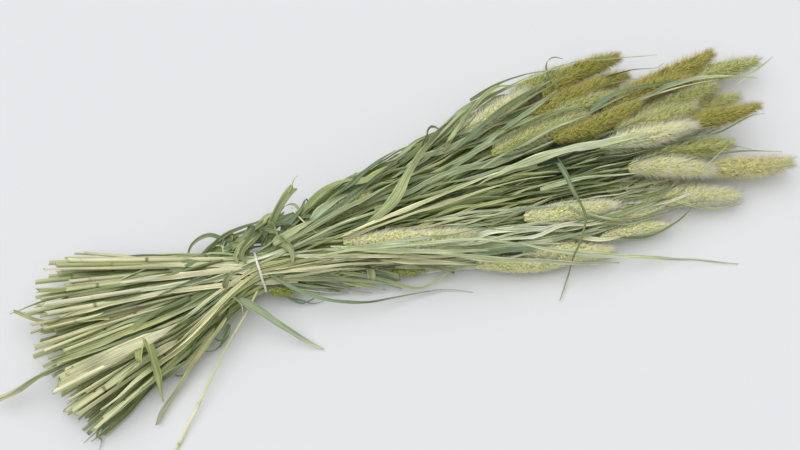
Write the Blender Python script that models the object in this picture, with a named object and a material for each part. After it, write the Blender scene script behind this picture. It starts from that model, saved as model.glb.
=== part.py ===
"""A tied bundle of dried setaria (foxtail grass), lying down.

Every stem runs the whole length of the bundle: cut ends at -X, seed head at +X. One elastic
band holds the stems about a third of the way along. The stems cross there with a twist, so
the bundle fans out on both sides of the band, and long leaf blades lie over and beside it.

All sizes below are in millimetres, with X along the bundle, Y across it, Z up and X = 0 at
the band. The finished model is moved so that its origin is the middle of its underside.
"""
import math

import bmesh
import bpy
import numpy as np

MM = 0.001
CLEAR = 0.3                 # gap kept between neighbouring pieces

# the stations along the bundle at which every strand (a stem with its head) has a centre point
STATIONS = np.array([-210, -170, -130, -90, -55, -25, 0, 25, 55, 90, 130, 170, 210, 250,
                     290, 330, 370, 410, 450, 490, 530], dtype=float)

# the waist under the band, and the twist that fans the stems out on either side of it
WAIST_RADIUS = 18.0
WAIST_Z = 19.5
WAIST_LENGTH = 15.0         # how far along the bundle the band's squeeze is felt
CROSSING_X = 37.0           # where the stems cross each other in plan
FULL_SPREAD = 0.40          # slope dy/dx of the outermost stems
HEAD_MID_Z = 26.0
HEAD_HALF_Z = 20.0
TWIST_Y = (-0.74, 0.62)     # place in the waist, for a head far to +Y and for one high up
TWIST_Z = (-0.64, -0.40)
CUT_MID_Z = 21.0
CUT_HALF_Z = 17.0
CUT_X = -158.0              # cut ends of the outermost stems; the middle ones reach further
CUT_BULGE = 30.0
CUT_JITTER = np.array([9.0, 5.5, 5.5])
CUT_SPREAD = 0.95           # width of the cut fan against straight stems, and its lean to -Y
CUT_LEAN = 0.17

STEM_RADIUS = 2.6           # at the cut end, thinning to NECK_RADIUS below the seed head
NECK_RADIUS = 1.5
STEM_SIDES = 8
BORE_RADIUS = 1.3           # the hollow that shows at each cut end
BORE_DEPTH = 7.0
HEAD_RADIUS = 6.0
HEAD_SIDES = 8
HEAD_SECTIONS = (0.0, 0.08, 0.25, 0.48, 0.7, 0.88, 1.0)

BAND_WIDTH = 2.2
BAND_THICKNESS = 1.1
BAND_POINTS = 48

LEAF_THICKNESS = 0.7
LEAF_FOLD = 0.12            # rise of a blade's edges for each millimetre from its midrib
LEAF_STEP = 15.0            # distance between a blade's sections
LEAF_SPRING = 0.3           # how strongly a blade straightens, each round of laying it down
LEAF_SAG = 0.06
LEAF_ROUNDS = 400

SETTLE_ROUNDS = 700
SETTLE_SPRING = 0.35        # how strongly a stem straightens, each round
SETTLE_PULL = 0.04          # how strongly it is drawn back to its first place
SETTLE_PUSH = 0.9           # share of an overlap that a push takes away
SEED = 7

# Each seed head: x, y, z of its tip, its length, and its turn in plan in degrees. A positive
# turn points towards +Y.
HEADS = (
    (379, 90, 28, 80, 10),
    (339, 100, 19, 75, 8),
    (283, 84, 33, 78, 12),
    (321, 28, 43, 92, 4),
    (369, 27, 46, 85, 6),
    (352, 48, 36, 80, 4),
    (461, 60, 30, 90, 6),
    (501, 44, 20, 86, -2),
    (471, -6, 36, 88, -13),
    (415, 8, 40, 76, -4),
    (403, -12, 46, 84, -7),
    (433, -32, 31, 84, -11),
    (479, -62, 19, 90, -19),
    (421, -72, 14, 84, -24),
    (311, -55, 31, 80, -13),
    (350, -62, 17, 76, -10),
    (183, -42, 43, 108, -15),
    (250, -78, 9, 72, -16),
    (294, -88, 10, 74, -16),
    (429, 44, 33, 88, 1),
)
# Stems whose heads broke off: x, y, z where each of them ends among the leaves.
HEADLESS = (
    (300, 62, 12),
    (270, -30, 12),
    (330, 5, 10),
    (240, -58, 24),
)

# Leaf blades: width, then the points that the midrib passes over in plan (x, y).
LEAVES = (
    (10, (30, -8), (120, -8), (220, -18), (300, -36)),
    (11, (22, 6), (110, 32), (200, 62), (262, 88)),
    (9, (60, 12), (160, 24), (262, 40), (345, 52)),
    (11, (18, -4), (90, 2), (190, 6), (285, 2)),
    (9, (70, -16), (170, -40), (260, -58), (345, -80)),
    (12, (26, 4), (100, 18), (190, 38), (270, 58)),
    (8, (110, 6), (210, -2), (320, -16), (420, -26)),
    (10, (40, -14), (120, -34), (200, -58), (262, -70)),
    (8, (150, 40), (215, 76), (270, 98), (328, 112)),
    (7, (214, -62), (282, -90), (350, -112), (396, -132)),
    (7, (268, -46), (326, -72), (376, -70), (416, -84)),
    (10, (-30, -14), (-12, -34), (8, -58), (32, -81)),
    (6, (8, -12), (50, -48), (112, -60), (170, -76)),
    (8, (-18, -4), (-80, -17), (-150, -27), (-234, -34)),
    (7, (-24, 8), (-90, 14), (-150, 24), (-206, 34)),
)


def strand_ends(cut_random):
    """Where each strand starts and ends: its cut end, its place in the waist, and its far end."""
    strands = []
    rows = [(*tip, length, turn) for *tip, length, turn in HEADS]
    rows += [(*tip, 0.0, 0.0) for tip in HEADLESS]
    for x, y, z, length, turn in rows:
        yaw = math.radians(turn)
        base_x = x - length * math.cos(yaw)
        base_y = y - length * math.sin(yaw)
        slope = base_y / (base_x - CROSSING_X)
        across = max(-1.0, min(1.0, slope / FULL_SPREAD))
        height = max(-1.0, min(1.0, (z - HEAD_MID_Z) / HEAD_HALF_Z))
        # the twist: stems on one side at the heads lie low and to the other side at the band
        reach = WAIST_RADIUS - STEM_RADIUS
        waist = (reach * (TWIST_Y[0] * across + TWIST_Y[1] * height),
                 WAIST_Z + reach * (TWIST_Z[0] * across + TWIST_Z[1] * height))
        jitter = cut_random.uniform(-1.0, 1.0, 3) * CUT_JITTER
        cut_x = CUT_X - CUT_BULGE * (1.0 - across * across) + jitter[0]
        cut_y = slope * (cut_x - CROSSING_X) * (CUT_SPREAD + CUT_LEAN * across)
        cut_z = CUT_MID_Z - CUT_HALF_Z * (0.6 * height + 0.4 * across)
        strands.append({
            "cut": (cut_x, cut_y + jitter[1], max(cut_z + jitter[2], STEM_RADIUS)),
            "waist": waist,
            "base": (base_x, base_y, z + 0.03 * length),
            "tip": (x, y, z),
            "length": length,
        })
    return strands


def radius_at(strand, x):
    """A stem's radius at x: full up to the band, then thinning towards the head."""
    share = np.clip(x / strand["base"][0], 0.0, 1.0)
    return STEM_RADIUS + (NECK_RADIUS - STEM_RADIUS) * share


def first_guess(strands):
    """Centres (strand, station, yz) on lines from cut end to waist to head base to head tip."""
    centres = np.zeros((len(strands), len(STATIONS), 2))
    for row, strand in enumerate(strands):
        waist = (0.0, *strand["waist"])
        knots = [strand["cut"], waist, strand["base"]]
        if strand["length"]:
            knots.append(strand["tip"])
        knots = np.array(knots)
        for axis in (0, 1):
            centres[row, :, axis] = np.interp(STATIONS, knots[:, 0], knots[:, axis + 1])
        # carry the first and last line on, past the ends of the strand
        for end, inner, side in ((0, 1, STATIONS < knots[0, 0]), (-1, -2, STATIONS > knots[-1, 0])):
            run = (STATIONS[side] - knots[end, 0]) / (knots[inner, 0] - knots[end, 0])
            for axis in (0, 1):
                rise = knots[inner, axis + 1] - knots[end, axis + 1]
                centres[row, side, axis] = knots[end, axis + 1] + run * rise
    return centres


def slab_radii(strands):
    """Largest radius of each strand between one station and the next, or 0 where it isn't."""
    radii = np.zeros((len(strands), len(STATIONS) - 1))
    for row, strand in enumerate(strands):
        for slab in range(len(STATIONS) - 1):
            left, right = STATIONS[slab], STATIONS[slab + 1]
            if right <= strand["cut"][0] or left >= strand["tip"][0]:
                continue
            radii[row, slab] = radius_at(strand, max(left, strand["cut"][0]))
            if strand["length"] and right > strand["base"][0]:
                radii[row, slab] = HEAD_RADIUS
    return radii


def push_apart(centres, radii, pairs):
    """Move the strands of each pair apart wherever their sections come nearer than CLEAR."""
    one, two = pairs
    apart = centres[one] - centres[two]
    start, step = apart[:, :-1], apart[:, 1:] - apart[:, :-1]
    square = np.maximum((step ** 2).sum(axis=2), 1e-9)
    nearest = np.clip(-(start * step).sum(axis=2) / square, 0.0, 1.0)
    offset = start + nearest[..., None] * step
    distance = np.maximum(np.linalg.norm(offset, axis=2), 1e-6)
    both = (radii[one] > 0) & (radii[two] > 0)
    short = np.where(both, radii[one] + radii[two] + CLEAR - distance, 0.0)
    short = np.maximum(short, 0.0)
    push = offset / distance[..., None] * (0.5 * SETTLE_PUSH * short)[..., None]
    move = np.zeros_like(centres)
    for sign, rows in ((1.0, one), (-1.0, two)):
        np.add.at(move, (rows, slice(None, -1)), sign * push * (1.0 - nearest)[..., None])
        np.add.at(move, (rows, slice(1, None)), sign * push * nearest[..., None])
    centres += move
    return short.max()


def settle(strands):
    """Relax the strands: springy, squeezed at the waist, on the floor, and never overlapping."""
    target = first_guess(strands)
    centres = target.copy()
    radii = slab_radii(strands)
    pairs = np.triu_indices(len(strands), 1)
    floor = np.zeros((len(strands), len(STATIONS)))
    floor[:, :-1] = radii
    floor[:, 1:] = np.maximum(floor[:, 1:], radii)
    share = (STATIONS[1:-1] - STATIONS[:-2]) / (STATIONS[2:] - STATIONS[:-2])
    squeeze = np.exp(-(STATIONS / WAIST_LENGTH) ** 2)[None, :]
    middle = np.array([0.0, WAIST_Z])
    for turn in range(SETTLE_ROUNDS):
        loose = max(0.0, 1.0 - turn / (0.75 * SETTLE_ROUNDS))
        before = centres[:, :-2] * (1.0 - share)[None, :, None]
        straight = before + centres[:, 2:] * share[None, :, None]
        centres[:, 1:-1] += SETTLE_SPRING * loose * (straight - centres[:, 1:-1])
        centres += SETTLE_PULL * loose * (target - centres)
        inward = middle - centres
        distance = np.linalg.norm(inward, axis=2)
        outside = np.maximum(distance - (WAIST_RADIUS - STEM_RADIUS), 0.0)
        centres += inward * (squeeze * outside / np.maximum(distance, 1.0))[..., None]
        for _ in range(3):
            overlap = push_apart(centres, radii, pairs)
            centres[..., 1] = np.maximum(centres[..., 1], floor)
    print(f"strands settled: largest overlap left {overlap:.3f} mm")
    return centres


def along(centres, row, x):
    """Centre of one strand at x, on the straight line between its stations."""
    y = np.interp(x, STATIONS, centres[row, :, 0])
    z = np.interp(x, STATIONS, centres[row, :, 1])
    return np.stack([y, z], axis=-1)


def loft(rings):
    """Vertices and faces of a closed body through rings of points, with flat ends."""
    sides = len(rings[0])
    verts = [tuple(point) for ring in rings for point in ring]
    faces = [tuple(range(sides)), tuple(reversed(range(len(verts) - sides, len(verts))))]
    for ring in range(len(rings) - 1):
        low, high = ring * sides, (ring + 1) * sides
        for side in range(sides):
            after = (side + 1) % sides
            faces.append((low + after, low + side, high + side, high + after))
    return verts, faces


def round_ring(x, centre, radius, sides):
    """A ring of points in the plane of constant x."""
    angles = np.arange(sides) * 2.0 * math.pi / sides + math.pi / sides
    return [(x, centre[0] + radius * math.cos(a), centre[1] + radius * math.sin(a)) for a in angles]


def stem_body(strand, centres, row):
    """A stem from its cut end to just below its seed head."""
    start, end = strand["cut"][0], strand["base"][0] - CLEAR / 2
    inner = STATIONS[(STATIONS > start + 1.0) & (STATIONS < end - 1.0)]
    xs = np.concatenate([[start], inner, [end]])
    rings = [round_ring(x, along(centres, row, x), BORE_RADIUS, STEM_SIDES)
             for x in (start + BORE_DEPTH, start)]
    rings += [round_ring(x, along(centres, row, x), radius_at(strand, x), STEM_SIDES) for x in xs]
    return loft(rings)


def head_section(share):
    """Radius of a seed head: blunt at its base, fullest below the middle, tapering to its tip."""
    full = math.sin(math.pi * min(1.0, 0.12 + 0.83 * share)) ** 0.6
    return HEAD_RADIUS * full


def head_body(strand, centres, row):
    """The plain spindle that stands for a seed head's grains and bristles."""
    start, end = strand["base"][0] + CLEAR / 2, strand["tip"][0]
    largest = max(head_section(share) for share in HEAD_SECTIONS)
    inner = STATIONS[(STATIONS > start + 4.0) & (STATIONS < end - 4.0)]
    xs = sorted([start + (end - start) * share for share in HEAD_SECTIONS] + list(inner))
    rings = []
    for x in xs:
        radius = head_section((x - start) / (end - start)) / largest * HEAD_RADIUS
        rings.append(round_ring(x, along(centres, row, x), radius, HEAD_SIDES))
    return loft(rings)


def hull_2d(points):
    """Convex outline of points in a plane, anticlockwise."""
    def half(ordered):
        chain = []
        for p in ordered:
            while len(chain) > 1:
                (ax, ay), (bx, by) = chain[-2], chain[-1]
                if (bx - ax) * (p[1] - ay) - (by - ay) * (p[0] - ax) > 0:
                    break
                chain.pop()
            chain.append(p)
        return chain[:-1]
    ordered = sorted(map(tuple, points))
    return np.array(half(ordered) + half(ordered[::-1]))


def band_body(strands, centres):
    """The elastic band: one taut loop round the outline of all the stems at the waist."""
    points = []
    fine = np.arange(72) * 2.0 * math.pi / 72
    for row, strand in enumerate(strands):
        for x in (-BAND_WIDTH / 2, BAND_WIDTH / 2):
            reach = radius_at(strand, x) + CLEAR
            centre = along(centres, row, x)
            points += [(centre[0] + reach * math.cos(a), centre[1] + reach * math.sin(a)) for a in fine]
    outline = hull_2d(points)
    closed = np.vstack([outline, outline[:1]])
    walked = np.concatenate([[0.0], np.cumsum(np.linalg.norm(np.diff(closed, axis=0), axis=1))])
    places = np.linspace(0.0, walked[-1], BAND_POINTS, endpoint=False)
    loop = np.stack([np.interp(places, walked, closed[:, axis]) for axis in (0, 1)], axis=1)
    tangent = np.roll(loop, -1, axis=0) - np.roll(loop, 1, axis=0)
    tangent /= np.linalg.norm(tangent, axis=1)[:, None]
    outward = np.stack([tangent[:, 1], -tangent[:, 0]], axis=1)
    half, deep, corner = BAND_WIDTH / 2, BAND_THICKNESS, 0.3
    section = ((-half, 0.1), (half, 0.1), (half, deep - corner), (half - corner, deep),
               (-half + corner, deep), (-half, deep - corner))
    verts, faces = [], []
    for point, normal in zip(loop, outward):
        verts += [(x, *(point + normal * out)) for x, out in section]
    sides = len(section)
    for ring in range(BAND_POINTS):
        low, high = ring * sides, (ring + 1) % BAND_POINTS * sides
        for side in range(sides):
            after = (side + 1) % sides
            faces.append((low + side, low + after, high + after, high + side))
    return verts, faces


class HeightMap:
    """Height of the pile's top over a grid in plan, for laying the blades on it."""

    STEP_X, STEP_Y = 1.25, 0.5

    def __init__(self):
        self.xs = np.arange(-245.0, 530.0, self.STEP_X)
        self.ys = np.arange(-145.0, 130.0, self.STEP_Y)
        self.top = np.zeros((len(self.xs), len(self.ys)))

    def add_round(self, x_low, x_high, centre_of, radius_of):
        """Raise the map to the top of a round piece."""
        for column, x in enumerate(self.xs):
            if x_low - 1.0 <= x <= x_high + 1.0:
                y, z = centre_of(x)
                radius = radius_of(x)
                side = np.abs(self.ys - y)
                rise = np.sqrt(np.maximum(radius ** 2 - side ** 2, 0.0))
                top = np.where(side < radius + 0.5, z + rise, 0.0)
                self.top[column] = np.maximum(self.top[column], top)

    def needed(self, x, y, half):
        """Lowest midrib height at x for a folded blade of this half width centred on y."""
        column = int(round((x - self.xs[0]) / self.STEP_X))
        rows = self.top[max(0, column - 1):column + 2].max(axis=0)
        side = np.abs(self.ys - y)
        under = side <= half + 0.5
        return (rows[under] - LEAF_FOLD * np.minimum(side[under], half)).max() + CLEAR

    def add_blade(self, xs, ys, zs, halves):
        """Raise the map to the top of a blade."""
        for column, x in enumerate(self.xs):
            if xs[0] - 1.0 <= x <= xs[-1] + 1.0:
                y, z, half = (np.interp(x, xs, values) for values in (ys, zs, halves))
                side = np.abs(self.ys - y)
                top = np.where(side <= half + 1.0, z + LEAF_FOLD * side + LEAF_THICKNESS, 0.0)
                self.top[column] = np.maximum(self.top[column], top)


def smooth_path(points, count):
    """Evenly spaced points in x on a smooth curve through the given plan points."""
    points = np.array(sorted(points), dtype=float)
    xs = np.linspace(points[0, 0], points[-1, 0], count)
    order = len(points) - 1
    return xs, np.polyval(np.polyfit(points[:, 0], points[:, 1], order), xs)


def leaf_body(width, points, pile):
    """A long blade with a folded midrib, laid down on everything placed before it."""
    length = abs(points[-1][0] - points[0][0])
    count = max(5, int(round(length / LEAF_STEP)) + 1)
    xs, ys = smooth_path(points, count)
    from_base = np.abs(xs - points[0][0]) / length
    profile = np.minimum(1.0, 0.45 + 3.0 * from_base) * np.minimum(1.0, 1.9 * (1.06 - from_base))
    halves = np.maximum(0.5 * width * profile, 0.6)
    fine = np.append(np.arange(xs[0], xs[-1], HeightMap.STEP_X), xs[-1])
    need = np.array([
        pile.needed(x, np.interp(x, xs, ys), np.interp(x, xs, halves)) for x in fine])
    need = np.maximum(need, 0.0)
    cell = np.clip(np.searchsorted(xs, fine, side="right") - 1, 0, count - 2)
    share = (fine - xs[cell]) / (xs[cell + 1] - xs[cell])
    zs = np.interp(xs, fine, need)
    for _ in range(LEAF_ROUNDS):
        zs[1:-1] += LEAF_SPRING * (0.5 * (zs[:-2] + zs[2:]) - zs[1:-1])
        zs[0] += LEAF_SPRING * (2.0 * zs[1] - zs[2] - zs[0])
        zs[-1] += LEAF_SPRING * (2.0 * zs[-2] - zs[-3] - zs[-1])
        zs -= LEAF_SAG
        short = np.maximum(need - (zs[cell] * (1.0 - share) + zs[cell + 1] * share), 0.0)
        lift = np.zeros(count)
        np.maximum.at(lift, cell, short)
        np.maximum.at(lift, cell + 1, short)
        zs = np.maximum(zs + lift, 0.0)
    rings = []
    for x, y, z, half in zip(xs, ys, zs, halves):
        rise = LEAF_FOLD * half
        rings.append([
            (x, y - half, z + rise), (x, y, z), (x, y + half, z + rise),
            (x, y + half, z + rise + LEAF_THICKNESS), (x, y, z + LEAF_THICKNESS),
            (x, y - half, z + rise + LEAF_THICKNESS)])
    pile.add_blade(xs, ys, zs, halves)
    return loft(rings)


def make_material(name, colour, roughness):
    """A Principled material for one kind of sub-part."""
    material = bpy.data.materials.new(name)
    material.use_nodes = True
    shader = material.node_tree.nodes["Principled BSDF"]
    shader.inputs["Base Color"].default_value = (*colour, 1.0)
    shader.inputs["Roughness"].default_value = roughness
    shader.inputs["Metallic"].default_value = 0.0
    material.diffuse_color = (*colour, 1.0)
    return material


def make_object(name, body, shift, material):
    """Turn vertices and faces into an object, in metres, with smooth round sides."""
    verts, faces = body
    mesh = bpy.data.meshes.new(name)
    mesh.from_pydata([tuple((np.array(v) - shift) * MM) for v in verts], [], faces)
    bm = bmesh.new()
    bm.from_mesh(mesh)
    bmesh.ops.recalc_face_normals(bm, faces=bm.faces)
    bm.to_mesh(mesh)
    bm.free()
    mesh.materials.append(material)
    mesh.shade_smooth()
    mesh.set_sharp_from_angle(angle=math.radians(50))
    obj = bpy.data.objects.new(name, mesh)
    bpy.context.scene.collection.objects.link(obj)
    return obj


def build():
    """Model every piece, then put the origin in the middle of the underside."""
    for obj in list(bpy.data.objects):
        bpy.data.objects.remove(obj)
    straw = make_material("straw", (0.62, 0.60, 0.33), 0.5)
    seed = make_material("seed_head", (0.42, 0.38, 0.10), 0.9)
    blade = make_material("dried_leaf", (0.25, 0.31, 0.19), 0.7)
    rubber = make_material("white_rubber", (0.80, 0.80, 0.80), 0.35)

    strands = strand_ends(np.random.default_rng(SEED))
    centres = settle(strands)
    pile = HeightMap()
    bodies = []
    for row, strand in enumerate(strands):
        def centre_of(x, row=row):
            return along(centres, row, x)
        bodies.append((f"stem_{row + 1:02d}", stem_body(strand, centres, row), straw))
        pile.add_round(strand["cut"][0], strand["base"][0], centre_of,
                       lambda x, strand=strand: radius_at(strand, x))
        if strand["length"]:
            bodies.append((f"seed_head_{row + 1:02d}", head_body(strand, centres, row), seed))
            pile.add_round(strand["base"][0], strand["tip"][0], centre_of, lambda x: HEAD_RADIUS)
    for number, (width, *points) in enumerate(LEAVES, start=1):
        bodies.append((f"leaf_{number:02d}", leaf_body(width, points, pile), blade))
    bodies.append(("tie_band", band_body(strands, centres), rubber))

    corners = np.array([vert for _, (verts, _), _ in bodies for vert in verts])
    low, high = corners.min(axis=0), corners.max(axis=0)
    shift = np.array([(low[0] + high[0]) / 2, (low[1] + high[1]) / 2, low[2]])
    print("size, mm:", (high - low).round(1), "shift:", shift.round(2), "pieces:", len(bodies))
    for name, body, material in bodies:
        make_object(name, body, shift, material)


build()
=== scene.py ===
# %% [markdown]
# # A tied bundle of dried setaria
# Setaria, or foxtail grass, is cut when its heads are ripe, dried, and tied in bundles. Each
# plant is a straw with brown joints, a few long blades that clasp it with a sheath, and one
# bristly spike. This file makes the looks of such a bundle. The CAD frame holds 24 stems,
# 20 seed heads, 15 leaves and the band at their true places. The finer pieces made here
# follow them, and more of the same kinds are packed in between.

# %% Load the frame
import math

import bpy
import numpy as np
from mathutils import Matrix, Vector


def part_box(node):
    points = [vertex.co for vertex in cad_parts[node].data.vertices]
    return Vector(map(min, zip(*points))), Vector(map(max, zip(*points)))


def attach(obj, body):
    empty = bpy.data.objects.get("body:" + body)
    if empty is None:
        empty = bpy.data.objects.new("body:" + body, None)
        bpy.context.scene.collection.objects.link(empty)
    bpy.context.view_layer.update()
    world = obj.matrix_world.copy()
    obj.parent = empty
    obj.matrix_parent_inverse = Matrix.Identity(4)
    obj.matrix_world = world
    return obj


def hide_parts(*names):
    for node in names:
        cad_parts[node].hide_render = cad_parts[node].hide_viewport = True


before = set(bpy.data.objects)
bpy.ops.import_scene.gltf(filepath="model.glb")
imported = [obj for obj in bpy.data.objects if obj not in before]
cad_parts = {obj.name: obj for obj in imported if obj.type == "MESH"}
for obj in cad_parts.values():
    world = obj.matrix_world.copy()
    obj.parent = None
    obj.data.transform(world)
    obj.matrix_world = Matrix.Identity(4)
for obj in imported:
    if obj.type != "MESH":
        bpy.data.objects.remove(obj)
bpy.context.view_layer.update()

MM = 0.001

# %% [markdown]
# ## Where things are
# All work below is in millimetres, from the point on the surface under the middle of the band:
# X runs along the bundle to the heads, Y across it and Z up. One function moves points from
# there to the frame's metres. The CAD pieces are lofts with rings at constant X, so the mean
# of each ring gives a point of the centre line.

# %% Measure the frame
SAME_RING = 0.06                # mm in x within which vertices belong to one ring
NEXT_RING = 0.5                 # rings nearer than this are the caps and hollows of an end
band_low, band_high = (np.array(corner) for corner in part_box("tie_band"))
ORIGIN = np.array([(band_low[0] + band_high[0]) / 2, (band_low[1] + band_high[1]) / 2, 0.0]) / MM
NODES = sorted(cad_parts)


def to_frame(points):
    """Millimetres from under the band to metres in the frame."""
    return (np.asarray(points, dtype=float) + ORIGIN) * MM


def centre_line(node):
    """The centre of each ring of a CAD loft, ordered along X, in mm from under the band."""
    places = np.array([vertex.co for vertex in bpy.data.objects[node].data.vertices]) / MM - ORIGIN
    marks = np.round(places[:, 0], 1)
    rings = [places[np.abs(marks - mark) < SAME_RING].mean(axis=0) for mark in np.unique(marks)]
    kept = [rings[0]]
    kept += [ring for before, ring in zip(rings, rings[1:]) if ring[0] - before[0] > NEXT_RING]
    return np.array(kept)


lines = {name: centre_line(name) for name in NODES if name != "tie_band"}
print("centre lines read:", len(lines), "of", len(NODES), "nodes")

# %% [markdown]
# ## Packing the bundle
# A real bundle is packed by hand until the band bites. The same is done here with a small
# relaxation: every stem, head and blade is a strand with a centre at each station along X.
# Cloth or rigid-body simulation could do it too, but neither gives long thin pieces that lie
# this close, and both are slow. The strands of the CAD frame come first. They don't move.

# %% Stations and strands
STATIONS = np.arange(-240.0, 541.0, 20.0)
CROWN_X = 330.0                 # where the heads crowd together
WAIST_RADIUS, WAIST_Z = 18.6, 19.5
HEAD_ROOM, STEM_ROOM, LEAF_ROOM = 6.4, 1.85, 1.5      # packing radii
WAVE_FALL = 0.8                 # how much weaker the short waves of a wander are
strands = []


def strand(kind, name, start, end, path, radius, fixed=False, **more):
    """Keep a strand: its reach in x, its centre (y, z) at every station, and its slab radii."""
    middle = 0.5 * (STATIONS[:-1] + STATIONS[1:])
    there = (STATIONS[1:] > start) & (STATIONS[:-1] < end)
    radii = np.where(there, radius(np.clip(middle, start, end)), 0.0)
    strands.append(dict(kind=kind, name=name, start=start, end=end, path=path, radii=radii,
                        fixed=fixed, **more))


def through(points):
    """Centres at every station on the line through points, carried straight on past both ends."""
    points = np.array(sorted(map(tuple, points)), dtype=float)
    xs, out = points[:, 0], np.zeros((len(STATIONS), 2))
    for axis, values in enumerate(points[:, 1:].T):
        out[:, axis] = np.interp(STATIONS, xs, values)
        for side, near, far in ((STATIONS < xs[0], 0, 1), (STATIONS > xs[-1], -1, -2)):
            slope = (values[far] - values[near]) / (xs[far] - xs[near])
            out[side, axis] = values[near] + slope * (STATIONS[side] - xs[near])
    return out


def stem_radius(base, headed):
    """Packing radius along a stem: less under the band, thin towards its base, then its head."""
    def radius(x):
        thinner = 0.35 * np.exp(-(x / 40.0) ** 2)
        straw = STEM_ROOM - thinner - 0.6 * np.clip(x / CROWN_X, 0.0, 1.0)
        return np.where((x > base) & headed, HEAD_ROOM, straw)
    return radius


def ripple(s, size, longest, shortest, random, terms=4):
    """A smooth random curve over distances s in mm, about size high, from long waves to short."""
    lengths = np.geomspace(longest, shortest, terms)
    weights = (lengths / longest) ** WAVE_FALL
    weights = size * weights / math.sqrt((weights ** 2).sum() / 2)
    return sum(weight * np.sin(2 * math.pi * (s / wave + random.uniform()))
               for weight, wave in zip(weights, lengths))


for name in NODES:
    if name.startswith("stem_"):
        line, head = lines[name], name.replace("stem", "seed_head")
        head = head if head in lines else None
        base = line[-1, 0]
        points = np.vstack([line, lines[head]]) if head else line
        strand("stem", name, line[0, 0], points[-1, 0], through(points),
               stem_radius(base, bool(head)), True, base=base, head=head)
    elif name.startswith("leaf_"):
        line = lines[name]
        strand("blade", name, line[0, 0], line[-1, 0], through(line),
               lambda x: np.full_like(x, LEAF_ROOM), True, group="frame",
               flip=name in ("leaf_14", "leaf_15"))
print("fixed strands:", len(strands))

# %% [markdown]
# ## The outline of the fan
# Seen from above, both ends of the bundle spread like a fan and the heads draw together again
# at their tips. Two lines hold the far and the near edge, and every added strand takes
# a share of the way across, from -1 at the near edge to 1 at the far one.

# %% Fan edges
FAR_EDGE = ((-240, 104), (-145, 72), (-80, 50), (-40, 34), (0, 16), (32, 24), (52, 39), (86, 55),
            (116, 61), (147, 67), (200, 80), (245, 93), (330, 102), (375, 92), (430, 78),
            (500, 48), (540, 40))
NEAR_EDGE = ((-240, 128), (-172, 92), (-136, 79), (-116, 69), (-79, 58), (-53, 45), (-30, 31),
             (0, 16), (13, 18), (32, 19), (58, 23), (76, 26), (118, 35), (160, 46), (183, 56),
             (207, 65), (249, 74), (284, 80), (366, 84), (430, 68), (480, 58), (540, 52))
CUT_REACH = ((-1, -166), (-0.6, -180), (-0.2, -184), (0.1, -188), (0.4, -176), (0.65, -162),
             (0.85, -152), (1, -144))                 # share across the fan, x of the cut ends


def read_off(line, place):
    """The height of a line of (place, height) points at a place."""
    return float(np.interp(place, *zip(*line)))


def fan_y(across, x):
    """Y at a share of the way across the fan."""
    far = np.interp(x, *zip(*FAR_EDGE))
    near = np.interp(x, *zip(*NEAR_EDGE))
    return across * np.where(np.asarray(across) > 0, far, near)


print("fan at the heads, mm:", [round(float(fan_y(side, CROWN_X))) for side in (-1, 1)])

# %% [markdown]
# ## More stems and heads
# The stems cross at the band with a twist, so a stem whose head is far to one side has its cut
# end on the other side. The same rule gives the added stems their lines. Those with a head
# end where the heads crowd. The rest lost theirs, and end among the blades. They are spread by
# steps of the golden ratio, which fill a width evenly and never fall into rows.

# %% Added stems
rng = np.random.default_rng(11)
GOLDEN, LEVEL_STEP = 0.618, 0.755     # steps that spread numbers evenly across, and in height
ADDED_HEADS = (                       # tip x, y, z, length, turn in degrees
    (352, 62, 33, 72, 6), (428, -2, 24, 78, -8), (388, -46, 14, 72, -14), (106, 51, 17, 40, 4),
    (112, 26, 34, 40, 6), (380, 73, 22, 74, 6), (470, 21, 16, 80, -3),
    (449, 26, 22, 82, 3), (412, 66, 18, 78, 4), (350, -74, 14, 58, -4), (322, 50, 32, 76, 8),
    (402, -55, 32, 72, -26), (300, 70, 22, 70, 12),
)
TOPMOST_ENDS = ((-150, 68, 18), (-140, 71, 13), (-155, 63, 24), (-145, 59, 29), (-162, 56, 25),
                (-132, 67, 24))
HEADLESS_STEMS = 34
MID_Z, HALF_Z = 26.0, 20.0      # heights of the heads: the middle, and from there to the top


def spread(k, low=0.0, span=1.0, start=0.0):
    """The k-th of many values that fill a span from low evenly and in no plain order."""
    return low + span * ((k * GOLDEN + start) % 1.0)


def level_of(k):
    """The k-th height of many, from 0 to 1, out of step with spread."""
    return (k * LEVEL_STEP) % 1.0


def add_stem(tip, length=0.0, turn=0.0, cut=None):
    """One more stem, from its cut end through the band to a head's tip or a broken end."""
    number = 1 + sum(one["kind"] == "stem" for one in strands)
    yaw = math.radians(turn)
    base = np.array([tip[0] - length * math.cos(yaw), tip[1] - length * math.sin(yaw), tip[2]])
    edge = abs(float(fan_y(math.copysign(1.0, base[1]), base[0])))
    across = float(np.clip(base[1] / edge, -1.0, 1.0))
    height = float(np.clip((tip[2] - MID_Z) / HALF_Z, -1.0, 1.0))
    reach = WAIST_RADIUS - 3.0            # the twist: its place, turned by some 140 degrees
    waist = (0.0, reach * (0.62 * height - 0.74 * across),
             WAIST_Z - reach * (0.4 * height + 0.64 * across))
    if cut is None:
        cut_x = read_off(CUT_REACH, -across) + rng.uniform(-6.0, 22.0)
        cut_z = 22.0 - 16.0 * (0.6 * height + 0.4 * across) + rng.uniform(-9.0, 9.0)
        cut_y = float(fan_y(-0.95 * across, cut_x)) + rng.uniform(-8.0, 8.0)
        cut = (cut_x, cut_y, max(cut_z, 3.0))
    points = [cut, waist, tuple(base)] + ([tuple(tip)] if length else [])
    strand("stem", f"stem_{number}", cut[0], tip[0], through(points),
           stem_radius(base[0], length > 0), base=base[0],
           head=f"seed_head_{number}" if length else None)


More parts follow.
